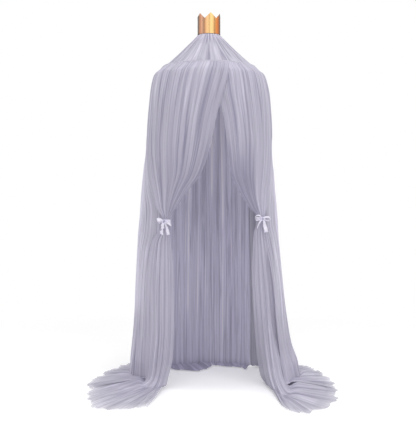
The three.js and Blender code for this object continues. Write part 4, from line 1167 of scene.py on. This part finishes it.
# Each row gives its height share, the angle of the first edge, the radius shares of both edges,
# and how far the panel swells between them. Cover shares say how much the net hides, from row to row.
# Only the back panel has painted lines along single thin folds, pale painted highlights or painted shade
# where the strength is below 0:
# place across, top, bottom, half width and strength.
PANELS = {
    "left_side_panel": {
        "degrees": (-84, -140),
        "row_shares": [
            (0.988, -84, 1.07, 1.09, 0),
            (0.973, -84, 1.176, 1.19, 0),
            (0.9, -84, 1.26, 1.272, 0),
            (0.783, -83, 1.31, 1.32, 0.02),
            (0.74, -81, 1.3, 1.337, 0.05),
            (0.66, -74.5, 1.28, 1.368, 0.12),
            (0.6, -66, 1.22, 1.387, 0.16),
            (0.54, -57, 1.16, 1.4, 0.2),
            (0.473, -55, 1.2, 1.42, 0.21),
            (0.42, -60, 1.26, 1.43, 0.2),
            (0.319, -63, 1.3, 1.448, 0.208),
            (0.18, -64, 1.32, 1.464, 0.23),
            (0.067, -66, 1.33, 1.464, 0.3),
        ],
        "foot_shares": [(-1.24, -0.5), (-1.72, 0.22), (-1.46, 0.86), (-0.95, 1.12)],
        "hem_shares": [
            (-2.34, -1),
            (-2.45, -0.2),
            (-2.3, 0.4),
            (-2.152, 0.94),
            (-2, 1.46),
            (-1.72, 1.6),
            (-1.34, 1.5),
            (-1.04, 1.26),
        ],
        "cover_shares": (0.88, 0.88, 0.86, 0.84, 0.8, 0.76, 0.72, 0.7, 0.7, 0.71, 0.72, 0.76, 0.84, 0.96),
        "pale": 1.4,
        "shade": 0.4,
        "painted_lines": [],
        "seed": 300,
        "steps": 320,
        "folds": 12,
    },
    "back_panel": {
        "degrees": (140, 220),
        "row_shares": [(height, 140, radius, radius, 0) for height, radius in BACK_ROW_SHARES],
        "foot_shares": [(0.94, 1.125), (0.5, 1.38), (0, 1.46), (-0.5, 1.38), (-0.94, 1.125)],
        "hem_shares": [
            (0.84, 0.9),
            (0.72, 1.14),
            (0.488, 1.248),
            (0.16, 1.36),
            (0, 1.2),
            (-0.192, 0.86),
            (-0.552, 0.74),
            (-0.86, 0.96),
        ],
        "cover_shares": (BACK_COVER,) * 10,
        "pale": 0,
        "shade": 0,
        "painted_lines": [
            (0.346, 0.18, 0.5, 0.006, 4.5),
            (0.34, 0.54, 0.86, 0.006, 1.8),
            (0.464, 0.22, 0.4, 0.009, 3.4),
            (0.54, 0.4, 0.75, 0.004, 2),
            (0.6275, 0.5, 0.8, 0.006, 2.2),
            (0.736, 0.35, 0.8, 0.011, 2.4),
            (0.775, 0.3, 0.6, 0.004, 2.4),
            (0.29, 0.45, 0.85, 0.004, 2),
            (0.24, 0.35, 0.7, 0.004, 1.8),
            (0.4, 0.15, 0.5, 0.02, -1.2),
            (0.56, 0.2, 0.6, 0.03, -1.4),
            (0.12, 0.3, 0.8, 0.005, 1.6),
            (0.87, 0.25, 0.7, 0.005, 1.6),
        ],
        "seed": 400,
        "steps": 380,
        "folds": 16,
    },
    "right_side_panel": {
        "degrees": (84, 140),
        "row_shares": [
            (0.988, 84, 1.08, 1.09, 0),
            (0.973, 84, 1.19, 1.19, 0),
            (0.9, 84, 1.3, 1.272, 0),
            (0.783, 84, 1.342, 1.32, 0),
            (0.74, 82.5, 1.31, 1.337, 0.03),
            (0.66, 75.5, 1.29, 1.368, 0.09),
            (0.6, 66, 1.27, 1.387, 0.1),
            (0.545, 59, 1.27, 1.4, 0.11),
            (0.5, 56, 1.3, 1.41, 0.105),
            (0.46, 57, 1.37, 1.42, 0.08),
            (0.319, 57.5, 1.56, 1.448, 0.03),
            (0.18, 57, 1.66, 1.464, 0.08),
            (0.12, 58.5, 1.69, 1.464, 0.14),
            (0.067, 60, 1.72, 1.464, 0.26),
        ],
        "foot_shares": [(1.66, -0.92), (2.02, 0.24), (1.56, 0.9), (0.95, 1.12)],
        "hem_shares": [
            (2.5, -1.1),
            (2.56, 0),
            (2.46, 0.732),
            (2.34, 0.952),
            (2.208, 1.28),
            (1.8, 1.5),
            (1.38, 1.5),
            (1.04, 1.26),
        ],
        "cover_shares": (
            *(0.88, 0.88, 0.88, 0.86, 0.82, 0.78, 0.74, 0.72),
            *(0.7, 0.68, 0.7, 0.74, 0.8, 0.84, 0.96),
        ),
        "pale": 1.2,
        "shade": 0.2,
        "painted_lines": [],
        "seed": 500,
        "steps": 320,
        "folds": 12,
    },
}
# Lighter, bluer tones for the back panel's net: painted light that lifts the dim inside of the canopy. Like
# the others, they run from painted light on crests through plain to painted shade in hollows.
BACK_PAINTED_LIGHT_TONES = ((0.895, 0.88, 0.965), (0.84, 0.825, 0.915), (0.695, 0.68, 0.775))
PANEL_ROWS = 200
PANEL_FOLD = 0.011
PANEL_PLEAT = 0.002
PANEL_GATHER = 0.0009
PANEL_RIDGE = 0.8 * TRAIN_RIDGE
PANEL_LANDED_SHARE = 0.4
PANEL_CALM_EDGE = 0.03
# The large folds stand out by this much, and their painted shade is weaker from the middle of the panel's
# length down.
PANEL_FOLD_OUT = 0.3
PANEL_FOLD_SHADE = 0.9
PANEL_SHADE_END = (0.4, 0.7)
PANEL_SHADE_LOSS = 0.8
PANEL_PLEAT_SHADE = 0.25
PANEL_GATHER_SHADE = 0.2
# A side panel is painted paler at its front edge, and with painted shade toward its back edge.
SIDE_FRONT_PALE = 0.5
SIDE_BACK_SHADE = 1.2
SIDE_TURN = (0.5, 0.8)
PINCH_SWAY = 0.004
PINCH_TOP_FADE = (-0.06, 0.04)
PINCH_END_FADE = (-0.04, 0.06)
# The panels' folds start small at the seam. Down from it, these shares of the height bring out the pleats
# and calm the gathers.
PLEATS_OUT = 0.04
GATHERS_CALM = 0.1
# Stretches of a panel, as shares of its length from the seam.
SIDE_PALE_START = (0.12, 0.34)
SIDE_PALE_END = (0.66, 0.76)
BACK_LIT_END = (0.15, 0.42)
# The back panel is painted paler high up, and gets painted shade where it lands on the floor.
BACK_LIT = 0.9
BACK_LANDED_SHADE = 1.2
# From the front edge of a panel, as shares of its width.
BESIDE_CURTAIN = (0.1, 0.35)
TOWARD_BACK = (0.4, 0.75)
# How far the front edge of a side panel rides up on the floor over the cloth beside it.
OVER_TRAIN = 0.007


def pinch_line_paint(across, down, painted_lines):
    """Painted lines along single pinched folds: pale painted highlights, or painted shade where the strength
    is below 0.
    """
    lines = np.zeros_like(across)
    for place, top, bottom, half_width, strength in painted_lines:
        swayed = across - place - PINCH_SWAY * np.sin(9 * down + 20 * place)
        starts = smooth_step(down, top + PINCH_TOP_FADE[0], top + PINCH_TOP_FADE[1])
        fade = starts * smooth_step(bottom - down, *PINCH_END_FADE)
        lines += strength * fade * np.exp(-((swayed / half_width) ** 2))
    return lines


def panel_spots(
    degrees, row_shares, foot_shares, hem_shares, cover_shares, pale, shade, painted_lines, seed, steps, folds
):
    """A side or back panel from the hoop down to its hem on the floor.

    It is painted paler by pale where it faces sideways, and gets painted shade by shade beside the front
    curtain.
    """
    at_back = 1 if painted_lines else 0
    u = np.linspace(0, 1, steps + 1)
    seam_share = SKIRT_RADIUS / SEAM_RADIUS
    hanging = []
    seam = (1, degrees[0], seam_share, seam_share, 0)
    for height, first_degrees, first, last, swell in [seam, *row_shares]:
        turn = first_degrees + (degrees[1] - first_degrees) * u
        radius_share = first + (last - first) * u + swell * np.sin(math.pi * u)
        hanging.append(polar(turn, radius_share * SEAM_RADIUS, FLOOR_Z + height * HANG_HEIGHT))
    train = train_rows(foot_shares, hem_shares, steps)
    spots, knots = smooth_down(hanging + train, PANEL_ROWS)
    start = len(hanging)
    across, down = np.meshgrid(u, np.linspace(0, 1, PANEL_ROWS + 1))
    drops = np.array([0, *(1 - row[0] for row in row_shares)])
    rest = [PANEL_LANDED_SHARE] * len(train)
    fold_shares = [*(1.15 * np.sqrt(drops)), *rest]
    pleat_shares = [*(0.2 + 0.8 * np.minimum(1, drops / PLEATS_OUT)), *rest]
    gather_shares = [*(1 - 0.4 * np.minimum(1, drops / GATHERS_CALM)), *rest]
    edges = smooth_step(across, 0, PANEL_CALM_EDGE) * smooth_step(1 - across, 0, PANEL_CALM_EDGE)
    large = fold_lines(across, down, folds // 2, seed + 1, wander=0.02, sharp=0.2)
    pleats = fold_lines(across, down, folds * 2 + 3, seed + 2, wander=0.012, sharp=0.8)
    gathers = fold_lines(across, down, folds * 4 + 1, seed + 3, wander=0.004, sharp=0.9)
    height = PANEL_FOLD * levels(knots, PANEL_ROWS, fold_shares) * (large + PANEL_FOLD_OUT)
    height += PANEL_PLEAT * levels(knots, PANEL_ROWS, pleat_shares) * pleats
    height += PANEL_GATHER * levels(knots, PANEL_ROWS, gather_shares) * gathers
    # Painted light and shade from the folds, pleats, gathers and painted lines, paler at a side panel's front
    # edge and deeper at its back.
    crest = PANEL_FOLD_SHADE * large * (1 - PANEL_SHADE_LOSS * smooth_step(down, *PANEL_SHADE_END))
    crest = crest + PANEL_PLEAT_SHADE * pleats + PANEL_GATHER_SHADE * gathers
    crest = crest + pinch_line_paint(across, down, painted_lines)
    crest = crest + (SIDE_FRONT_PALE - SIDE_BACK_SHADE * smooth_step(across, *SIDE_TURN)) * (1 - at_back)
    outward = 1 if degrees[0] > degrees[1] else -1
    fade = 1 - smooth_step(down, knots[start] + LANDING[0], knots[start] + LANDING[1])
    spots = moved(spots, cloth_normals(spots), outward * height * edges * fade)
    front_cover = levels(knots, PANEL_ROWS, [*cover_shares, LANDED_COVER, *TRAIN_COVER[1:]])
    cover = front_cover + (BACK_COVER - front_cover) * smooth_step(across, *TOWARD_BACK) * fade
    hangs = smooth_step(down, *SIDE_PALE_START) * (1 - smooth_step(down, *SIDE_PALE_END))
    from_side = np.degrees(np.arctan2(np.abs(spots[..., 0]), -spots[..., 1])) - 90
    arc = np.where(from_side < 0, SIDE_ARC_DEGREES[0], SIDE_ARC_DEGREES[1])
    at_side = hangs * np.exp(-((from_side / arc) ** 2))
    # Painted light where a side panel faces sideways, and painted shade beside the front curtain.
    crest = crest + pale * at_side - shade * hangs * (1 - smooth_step(across, *BESIDE_CURTAIN))
    cover = cover * (1 - SIDE_THIN * (1 - at_back) * at_side)
    over = OVER_TRAIN * (1 - at_back)
    spots, crest = lay_train(spots, crest, knots, start, across, down, seed + 10, PANEL_RIDGE, over)
    # The back panel's cloth on the floor gets painted shade and hides more.
    shaded = smooth_step(down, knots[start] - 0.04, knots[start]) * at_back
    crest = crest + BACK_LIT * (1 - smooth_step(down, *BACK_LIT_END)) * at_back - BACK_LANDED_SHADE * shaded
    return {"spots": spots, "crest": crest, "cover": cover + (BACK_LANDED_COVER - cover) * shaded}


back_lit_net = net("back_lit_net", BACK_PAINTED_LIGHT_TONES, CURTAIN_METRES)
for name, shape in PANELS.items():
    cloth = back_lit_net if name == "back_panel" else skirt_net
    panel = grid_piece(name.replace("panel", "drape"), material=cloth, **panel_spots(**shape))
    face_away(panel)
    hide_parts(name)
    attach(panel, "canopy")

# Tie bands
# A satin ribbon goes once round each bundle of net and is drawn tight.
# It is tied in front, where the bow's knot covers it.
BAND_HEIGHT = 0.018
BAND_LENGTH = 0.13
BAND_WALL = 0.001
BAND_CREASE = 0.0007
BAND_SLANT = 0.0012
BAND_STEPS = 160
BAND_ROWS = 24


def tie_frame(tie):
    """The middle of a bundle, the direction along it, the direction to the back, and half its width."""
    inner, outer = tie_ends(tie)
    first, last = (inner, outer) if inner[0] < outer[0] else (outer, inner)
    along = (last - first) / np.linalg.norm(last - first)
    back = np.cross((0, 0, 1), along)
    return (inner + outer) / 2, along, back, np.linalg.norm(last - first) / 2


def in_frame(tie, spots):
    """Places given along a bundle, to its back and up, as places in the room."""
    middle, along, back, _ = tie_frame(tie)
    up = np.array((0, 0, 1))
    return middle + spots[..., :1] * along + spots[..., 1:2] * back + spots[..., 2:] * up


band_satin = satin("band_satin", BAND_HEIGHT, BAND_LENGTH)
for side, shape in CURTAINS.items():
    tie = shape["tie_shares"]
    half_width = tie_frame(tie)[3]
    turn, share = np.meshgrid(np.linspace(0, 1, BAND_STEPS + 1), np.linspace(0, 1, BAND_ROWS + 1))
    crease = BAND_CREASE * np.sin(2 * math.pi * (2.5 * share + 3 * turn)) * np.sin(math.pi * share)
    reach = CLOTH_CLEAR + BAND_WALL / 2 + crease * 0.4
    flat = np.stack(
        [
            (half_width + reach) * np.sin(2 * math.pi * turn),
            -(TIE_DEPTH + reach) * np.cos(2 * math.pi * turn),
            BAND_HEIGHT * (0.5 - share) + BAND_SLANT * np.sin(2 * math.pi * (turn + 0.2)),
        ],
        -1,
    )
    band = grid_piece(f"{side}_band", in_frame(tie, flat), band_satin, joins=True)
    face_away(band, Vector(tie_frame(tie)[0]))
    add_wall(band, BAND_WALL * SOFT_WALL_SHARE)
    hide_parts(f"{side}_tie_band")
    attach(band, "canopy")

# Bows
# Each tie ends in front in a soft bow of white satin ribbon: a knot, two loops and two tails.
# The left bow droops, and the right one stands open.
RIBBON_WIDTH = 0.02
RIBBON_LENGTH = 0.09
RIBBON_WALL = 0.0007
RIBBON_CURL = 0.0012
RIBBON_RIPPLE = 0.0007
KNOT_HALF = (0.0055, 0.0045, 0.0075)
KNOT_LENGTH = 0.03
KNOT_REACH = 0.0216
KNOT_PLEAT = 0.0007
KNOT_TWIST = 0.0012
KNOT_LEAN = 0.0006
KNOT_STEPS = 32
KNOT_ROWS = 64
# The knot is drawn tight, and its satin is given darker tones: painted shade.
KNOT_SHADE_TONES = ((0.5, 0.49, 0.6), (0.78, 0.765, 0.88))
BOW_STEPS = 72
BOW_ROWS = 20


def ribbon_spots(rows, phase):
    """A ribbon through rows of places, which curls across its width and ripples a little."""
    path, width_path, widths = (np.array(column, float) for column in zip(*rows))
    knots = np.linspace(0, 1, len(path))
    spots = np.linspace(0, 1, BOW_STEPS + 1)
    fine, _ = smooth_down(path[:, None, :], BOW_STEPS)
    fine = fine[:, 0, :]
    wide = unit(np.stack([np.interp(spots, knots, width_path[:, k]) for k in range(3)], -1))
    half = np.interp(spots, np.linspace(0, 1, len(widths)), widths) / 2
    out = unit(np.cross(np.gradient(fine, axis=0), wide))
    v = np.linspace(-1, 1, BOW_ROWS + 1)[:, None]
    pinch = 1 - half / (RIBBON_WIDTH / 2)
    bend = RIBBON_CURL * (v**2 - 0.4)
    bend = bend + RIBBON_RIPPLE * np.sin(2 * math.pi * (1.5 * v + phase)) * (0.35 + 2.2 * pinch)
    return fine[None] + (v * half)[..., None] * wide[None] + bend[..., None] * out[None]


# Each row gives a place on the ribbon's middle, the way its width lies there, and its width.
# Places are along the bundle, to its back and up, from the middle of the tie.
BOWS = {
    "left": {
        "loop_left": [
            ((-0.003, -0.0225, 0.001), (0.1, 0, 1), 0.006),
            ((-0.014, -0.03, 0.007), (0.15, 0.2, 1), 0.014),
            ((-0.028, -0.03, 0.009), (-0.15, 0.3, 1), 0.02),
            ((-0.037, -0.0245, 0.003), (-0.5, 0.1, 1), 0.0215),
            ((-0.034, -0.0185, -0.003), (-0.3, -0.1, 1), 0.018),
            ((-0.018, -0.018, 0), (0, 0, 1), 0.011),
            ((-0.004, -0.0205, 0), (0.1, 0, 1), 0.006),
        ],
        "loop_right": [
            ((0.003, -0.0225, -0.002), (0, 0, 1), 0.005),
            ((0.013, -0.0285, -0.005), (-0.1, 0.15, 1), 0.0065),
            ((0.026, -0.0275, -0.01), (-0.35, 0.2, 1), 0.012),
            ((0.0385, -0.022, -0.0155), (-0.5, 0.1, 1), 0.0205),
            ((0.03, -0.0175, -0.013), (-0.3, 0, 1), 0.012),
            ((0.015, -0.0175, -0.008), (0, 0, 1), 0.006),
            ((0.004, -0.0205, -0.003), (0, 0, 1), 0.005),
        ],
        "tail_left": [
            ((-0.003, -0.0225, -0.005), (1, 0.2, 0), 0.009),
            ((-0.0055, -0.027, -0.016), (1, 0.1, 0.1), 0.018),
            ((-0.0065, -0.0245, -0.033), (1, -0.3, 0.1), 0.02),
            ((-0.01, -0.0235, -0.043), (0.25, 1, 0.2), 0.008),
            ((-0.0125, -0.026, -0.053), (1, 0.3, -0.3), 0.018),
            ((-0.012, -0.024, -0.067), (1, 0.1, -0.5), 0.019),
        ],
        "tail_right": [
            ((0.004, -0.0225, -0.004), (1, 0.4, 0.2), 0.006),
            ((0.0115, -0.0265, -0.015), (1, 0.5, 0.3), 0.008),
            ((0.0165, -0.0245, -0.03), (1, 0.3, 0.3), 0.012),
            ((0.021, -0.0245, -0.046), (1, 0.1, 0.25), 0.016),
            ((0.0255, -0.0235, -0.0675), (1, 0, 0.2), 0.0175),
        ],
    },
    "right": {
        "loop_left": [
            ((-0.003, -0.0225, 0.002), (0.4, 0.9, 0.3), 0.006),
            ((-0.011, -0.026, 0.013), (0.4, 0.9, 0.35), 0.012),
            ((-0.024, -0.0265, 0.0195), (0.4, 0.9, 0.35), 0.016),
            ((-0.036, -0.0265, 0.0165), (0.4, 0.9, 0.2), 0.017),
            ((-0.0425, -0.0265, 0.004), (0.3, 0.9, 0.1), 0.017),
            ((-0.035, -0.0265, -0.007), (0.4, 0.9, 0.4), 0.016),
            ((-0.018, -0.0245, -0.004), (0.4, 0.9, 0.5), 0.013),
            ((-0.004, -0.0215, -0.001), (0.4, 0.9, 0.5), 0.006),
        ],
        "loop_right": [
            ((0.003, -0.0225, 0.002), (0, 1, 0.6), 0.006),
            ((0.014, -0.0275, 0.008), (0, 1, 0.6), 0.013),
            ((0.028, -0.028, 0.0095), (0, 1, 0.5), 0.017),
            ((0.0405, -0.0255, 0.003), (0.2, 1, 0.4), 0.018),
            ((0.036, -0.0225, -0.008), (0.2, 1, 0.4), 0.015),
            ((0.022, -0.0215, -0.0075), (0, 1, 0.4), 0.012),
            ((0.01, -0.0205, -0.003), (0, 1, 0.5), 0.009),
            ((0.003, -0.021, -0.001), (0, 1, 0.5), 0.006),
        ],
        "tail_left": [
            ((-0.003, -0.0225, -0.003), (-0.3, 1, 0.3), 0.006),
            ((-0.012, -0.0265, -0.009), (-0.2, 1, 0.2), 0.011),
            ((-0.02, -0.0255, -0.019), (0, 1, 0.1), 0.015),
            ((-0.0265, -0.0255, -0.032), (0.2, 1, 0), 0.015),
            ((-0.03, -0.025, -0.048), (0.3, 1, 0), 0.014),
        ],
        "tail_right": [
            ((0.003, -0.0225, -0.004), (1, 0.2, 0.1), 0.008),
            ((0.0075, -0.0265, -0.017), (1, 0.15, 0.1), 0.014),
            ((0.0115, -0.024, -0.033), (1, -0.1, 0.1), 0.0175),
            ((0.016, -0.0255, -0.05), (1, 0.1, 0.15), 0.0195),
            ((0.0205, -0.0235, -0.0685), (1, 0, 0.15), 0.0205),
        ],
    },
}


def knot_spots():
    """The wrap of ribbon over the middle of a bow, pinched at both ends, with a few pleats."""
    x = np.linspace(-1, 1, KNOT_STEPS + 1)
    turn = np.linspace(0, 2 * math.pi, KNOT_ROWS + 1)[:, None]
    girth = np.maximum(1 - np.abs(x) ** 3, 0) ** 0.45
    pleat = KNOT_PLEAT * np.cos(3 * math.pi * x) * (1 + 0.4 * np.sin(turn * 2 + 1))
    y = (KNOT_HALF[1] + pleat) * girth * np.cos(turn) - KNOT_REACH
    z = (KNOT_HALF[2] + pleat) * girth * np.sin(turn) + KNOT_TWIST * np.sin(2 * x)
    return np.stack(np.broadcast_arrays(x * KNOT_HALF[0] + KNOT_LEAN * np.sin(turn), y, z), -1)


ribbon_satin = satin("ribbon_satin", RIBBON_WIDTH, RIBBON_LENGTH)
# The knot's satin is a darker copy of the ribbon's: painted shade.
knot_shade_satin = satin("knot_shade_satin", RIBBON_WIDTH, KNOT_LENGTH, KNOT_SHADE_TONES)
for number, (side, pieces) in enumerate(BOWS.items()):
    tie = CURTAINS[side]["tie_shares"]
    knot = grid_piece(f"{side}_knot", in_frame(tie, knot_spots()), knot_shade_satin, joins=True)
    middle, _, back, _ = tie_frame(tie)
    face_away(knot, Vector(middle - back * KNOT_REACH))
    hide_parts(f"{side}_bow_knot")
    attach(knot, "canopy")
    for order, (part_name, rows) in enumerate(pieces.items()):
        spots = ribbon_spots(rows, phase=0.17 * order + 0.4 * number)
        ribbon = grid_piece(f"{side}_{part_name}", in_frame(tie, spots), ribbon_satin)
        add_wall(ribbon, RIBBON_WALL)
        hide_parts(f"{side}_bow_{part_name}")
        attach(ribbon, "canopy")

# Floor, lights and background
# A plain pale floor takes the soft shadow, and fades to plain white away from the canopy.
# Large soft lamps light the net evenly, and the room looks white to the eye and in the metal.
FLOOR_HALF = 14
FLOOR_FADE = (2.1, 3.2)
FLOOR_GLOW = 0.28
FLOOR_CLOUDS = 3
FLOOR_STOP_SHARES = [(0.3, (0.955, 0.955, 0.955)), (0.7, (0.965, 0.965, 0.965))]
WHITE = (1, 1, 1, 1)
# Each lamp's place, what it is aimed at, its size and its power.
LAMPS = [
    ((-1.4, -3.8, 0.8), (0, 0, -1.0), 3.0, 26),
    ((2.0, -3.6, 1.0), (0, 0, -1.0), 3.0, 32),
    ((-3.4, 0.2, 0.2), (0, 0, -1.0), 3.0, 36),
    ((3.4, 0.2, 0.2), (0, 0, -1.0), 3.0, 36),
    ((0.2, -1.2, 2.6), (0, 0, -0.6), 2.4, 54),
]
WORLD_LEVEL = 0.42


def floor_paint():
    """Matt white paint. To the eye it is lit to plain white, and it still takes the shadow."""
    material, tree, add, shader = node_tree("floor")
    place = add("ShaderNodeTexCoord").outputs["Object"]
    cloud = add("ShaderNodeTexNoise", Vector=place, Scale=FLOOR_CLOUDS, Detail=2)
    tone = colour_ramp(add, cloud.outputs["Fac"], FLOOR_STOP_SHARES)
    seen = add("ShaderNodeLightPath").outputs["Is Camera Ray"]
    set_inputs(
        tree,
        shader,
        Base_Color=tone,
        Roughness=0.9,
        Specular_IOR_Level=0.1,
        Emission_Color=WHITE,
        Emission_Strength=maths(add, "MULTIPLY", seen, FLOOR_GLOW),
    )
    away = add("ShaderNodeVectorMath", {"operation": "LENGTH"}, _0=place).outputs["Value"]
    fade = add("ShaderNodeMapRange", Value=away, From_Min=FLOOR_FADE[0], From_Max=FLOOR_FADE[1])
    far = maths(add, "MULTIPLY", seen, fade.outputs[0])
    white = add("ShaderNodeEmission", Color=WHITE, Strength=1)
    mixed = add("ShaderNodeMixShader", _0=far, _1=shader.outputs[0], _2=white.outputs[0])
    set_inputs(tree, tree.nodes["Material Output"], Surface=mixed.outputs[0])
    return material


floor_shape = bmesh.new()
bmesh.ops.create_grid(floor_shape, x_segments=1, y_segments=1, size=FLOOR_HALF)
bmesh.ops.translate(floor_shape, verts=floor_shape.verts, vec=(0, 0, FLOOR_Z))
floor_mesh = bpy.data.meshes.new("floor")
floor_shape.to_mesh(floor_mesh)
floor_shape.free()
floor_mesh.materials.append(floor_paint())
floor = bpy.data.objects.new("floor", floor_mesh)
bpy.context.scene.collection.objects.link(floor)

for index, (place, aim, size, power) in enumerate(LAMPS):
    lamp_data = bpy.data.lights.new(f"lamp_{index}", "AREA")
    lamp_data.size = size
    lamp_data.energy = power
    lamp = bpy.data.objects.new(f"lamp_{index}", lamp_data)
    lamp.location = place
    lamp.rotation_euler = (Vector(aim) - Vector(place)).to_track_quat("-Z", "Y").to_euler()
    bpy.context.scene.collection.objects.link(lamp)

world = bpy.data.worlds.new("studio")
world.use_nodes = True
bpy.context.scene.world = world
sky = world.node_tree
add_sky = node_maker(sky)
rays = add_sky("ShaderNodeLightPath").outputs
seen = rays["Is Camera Ray"]
for also in ("Is Glossy Ray", "Is Transmission Ray"):
    seen = maths(add_sky, "MAXIMUM", seen, rays[also])
set_inputs(sky, sky.nodes["Background"], Color=WHITE, Strength=varied(add_sky, seen, (WORLD_LEVEL, 1)))
bpy.context.scene.view_settings.view_transform = "Standard"
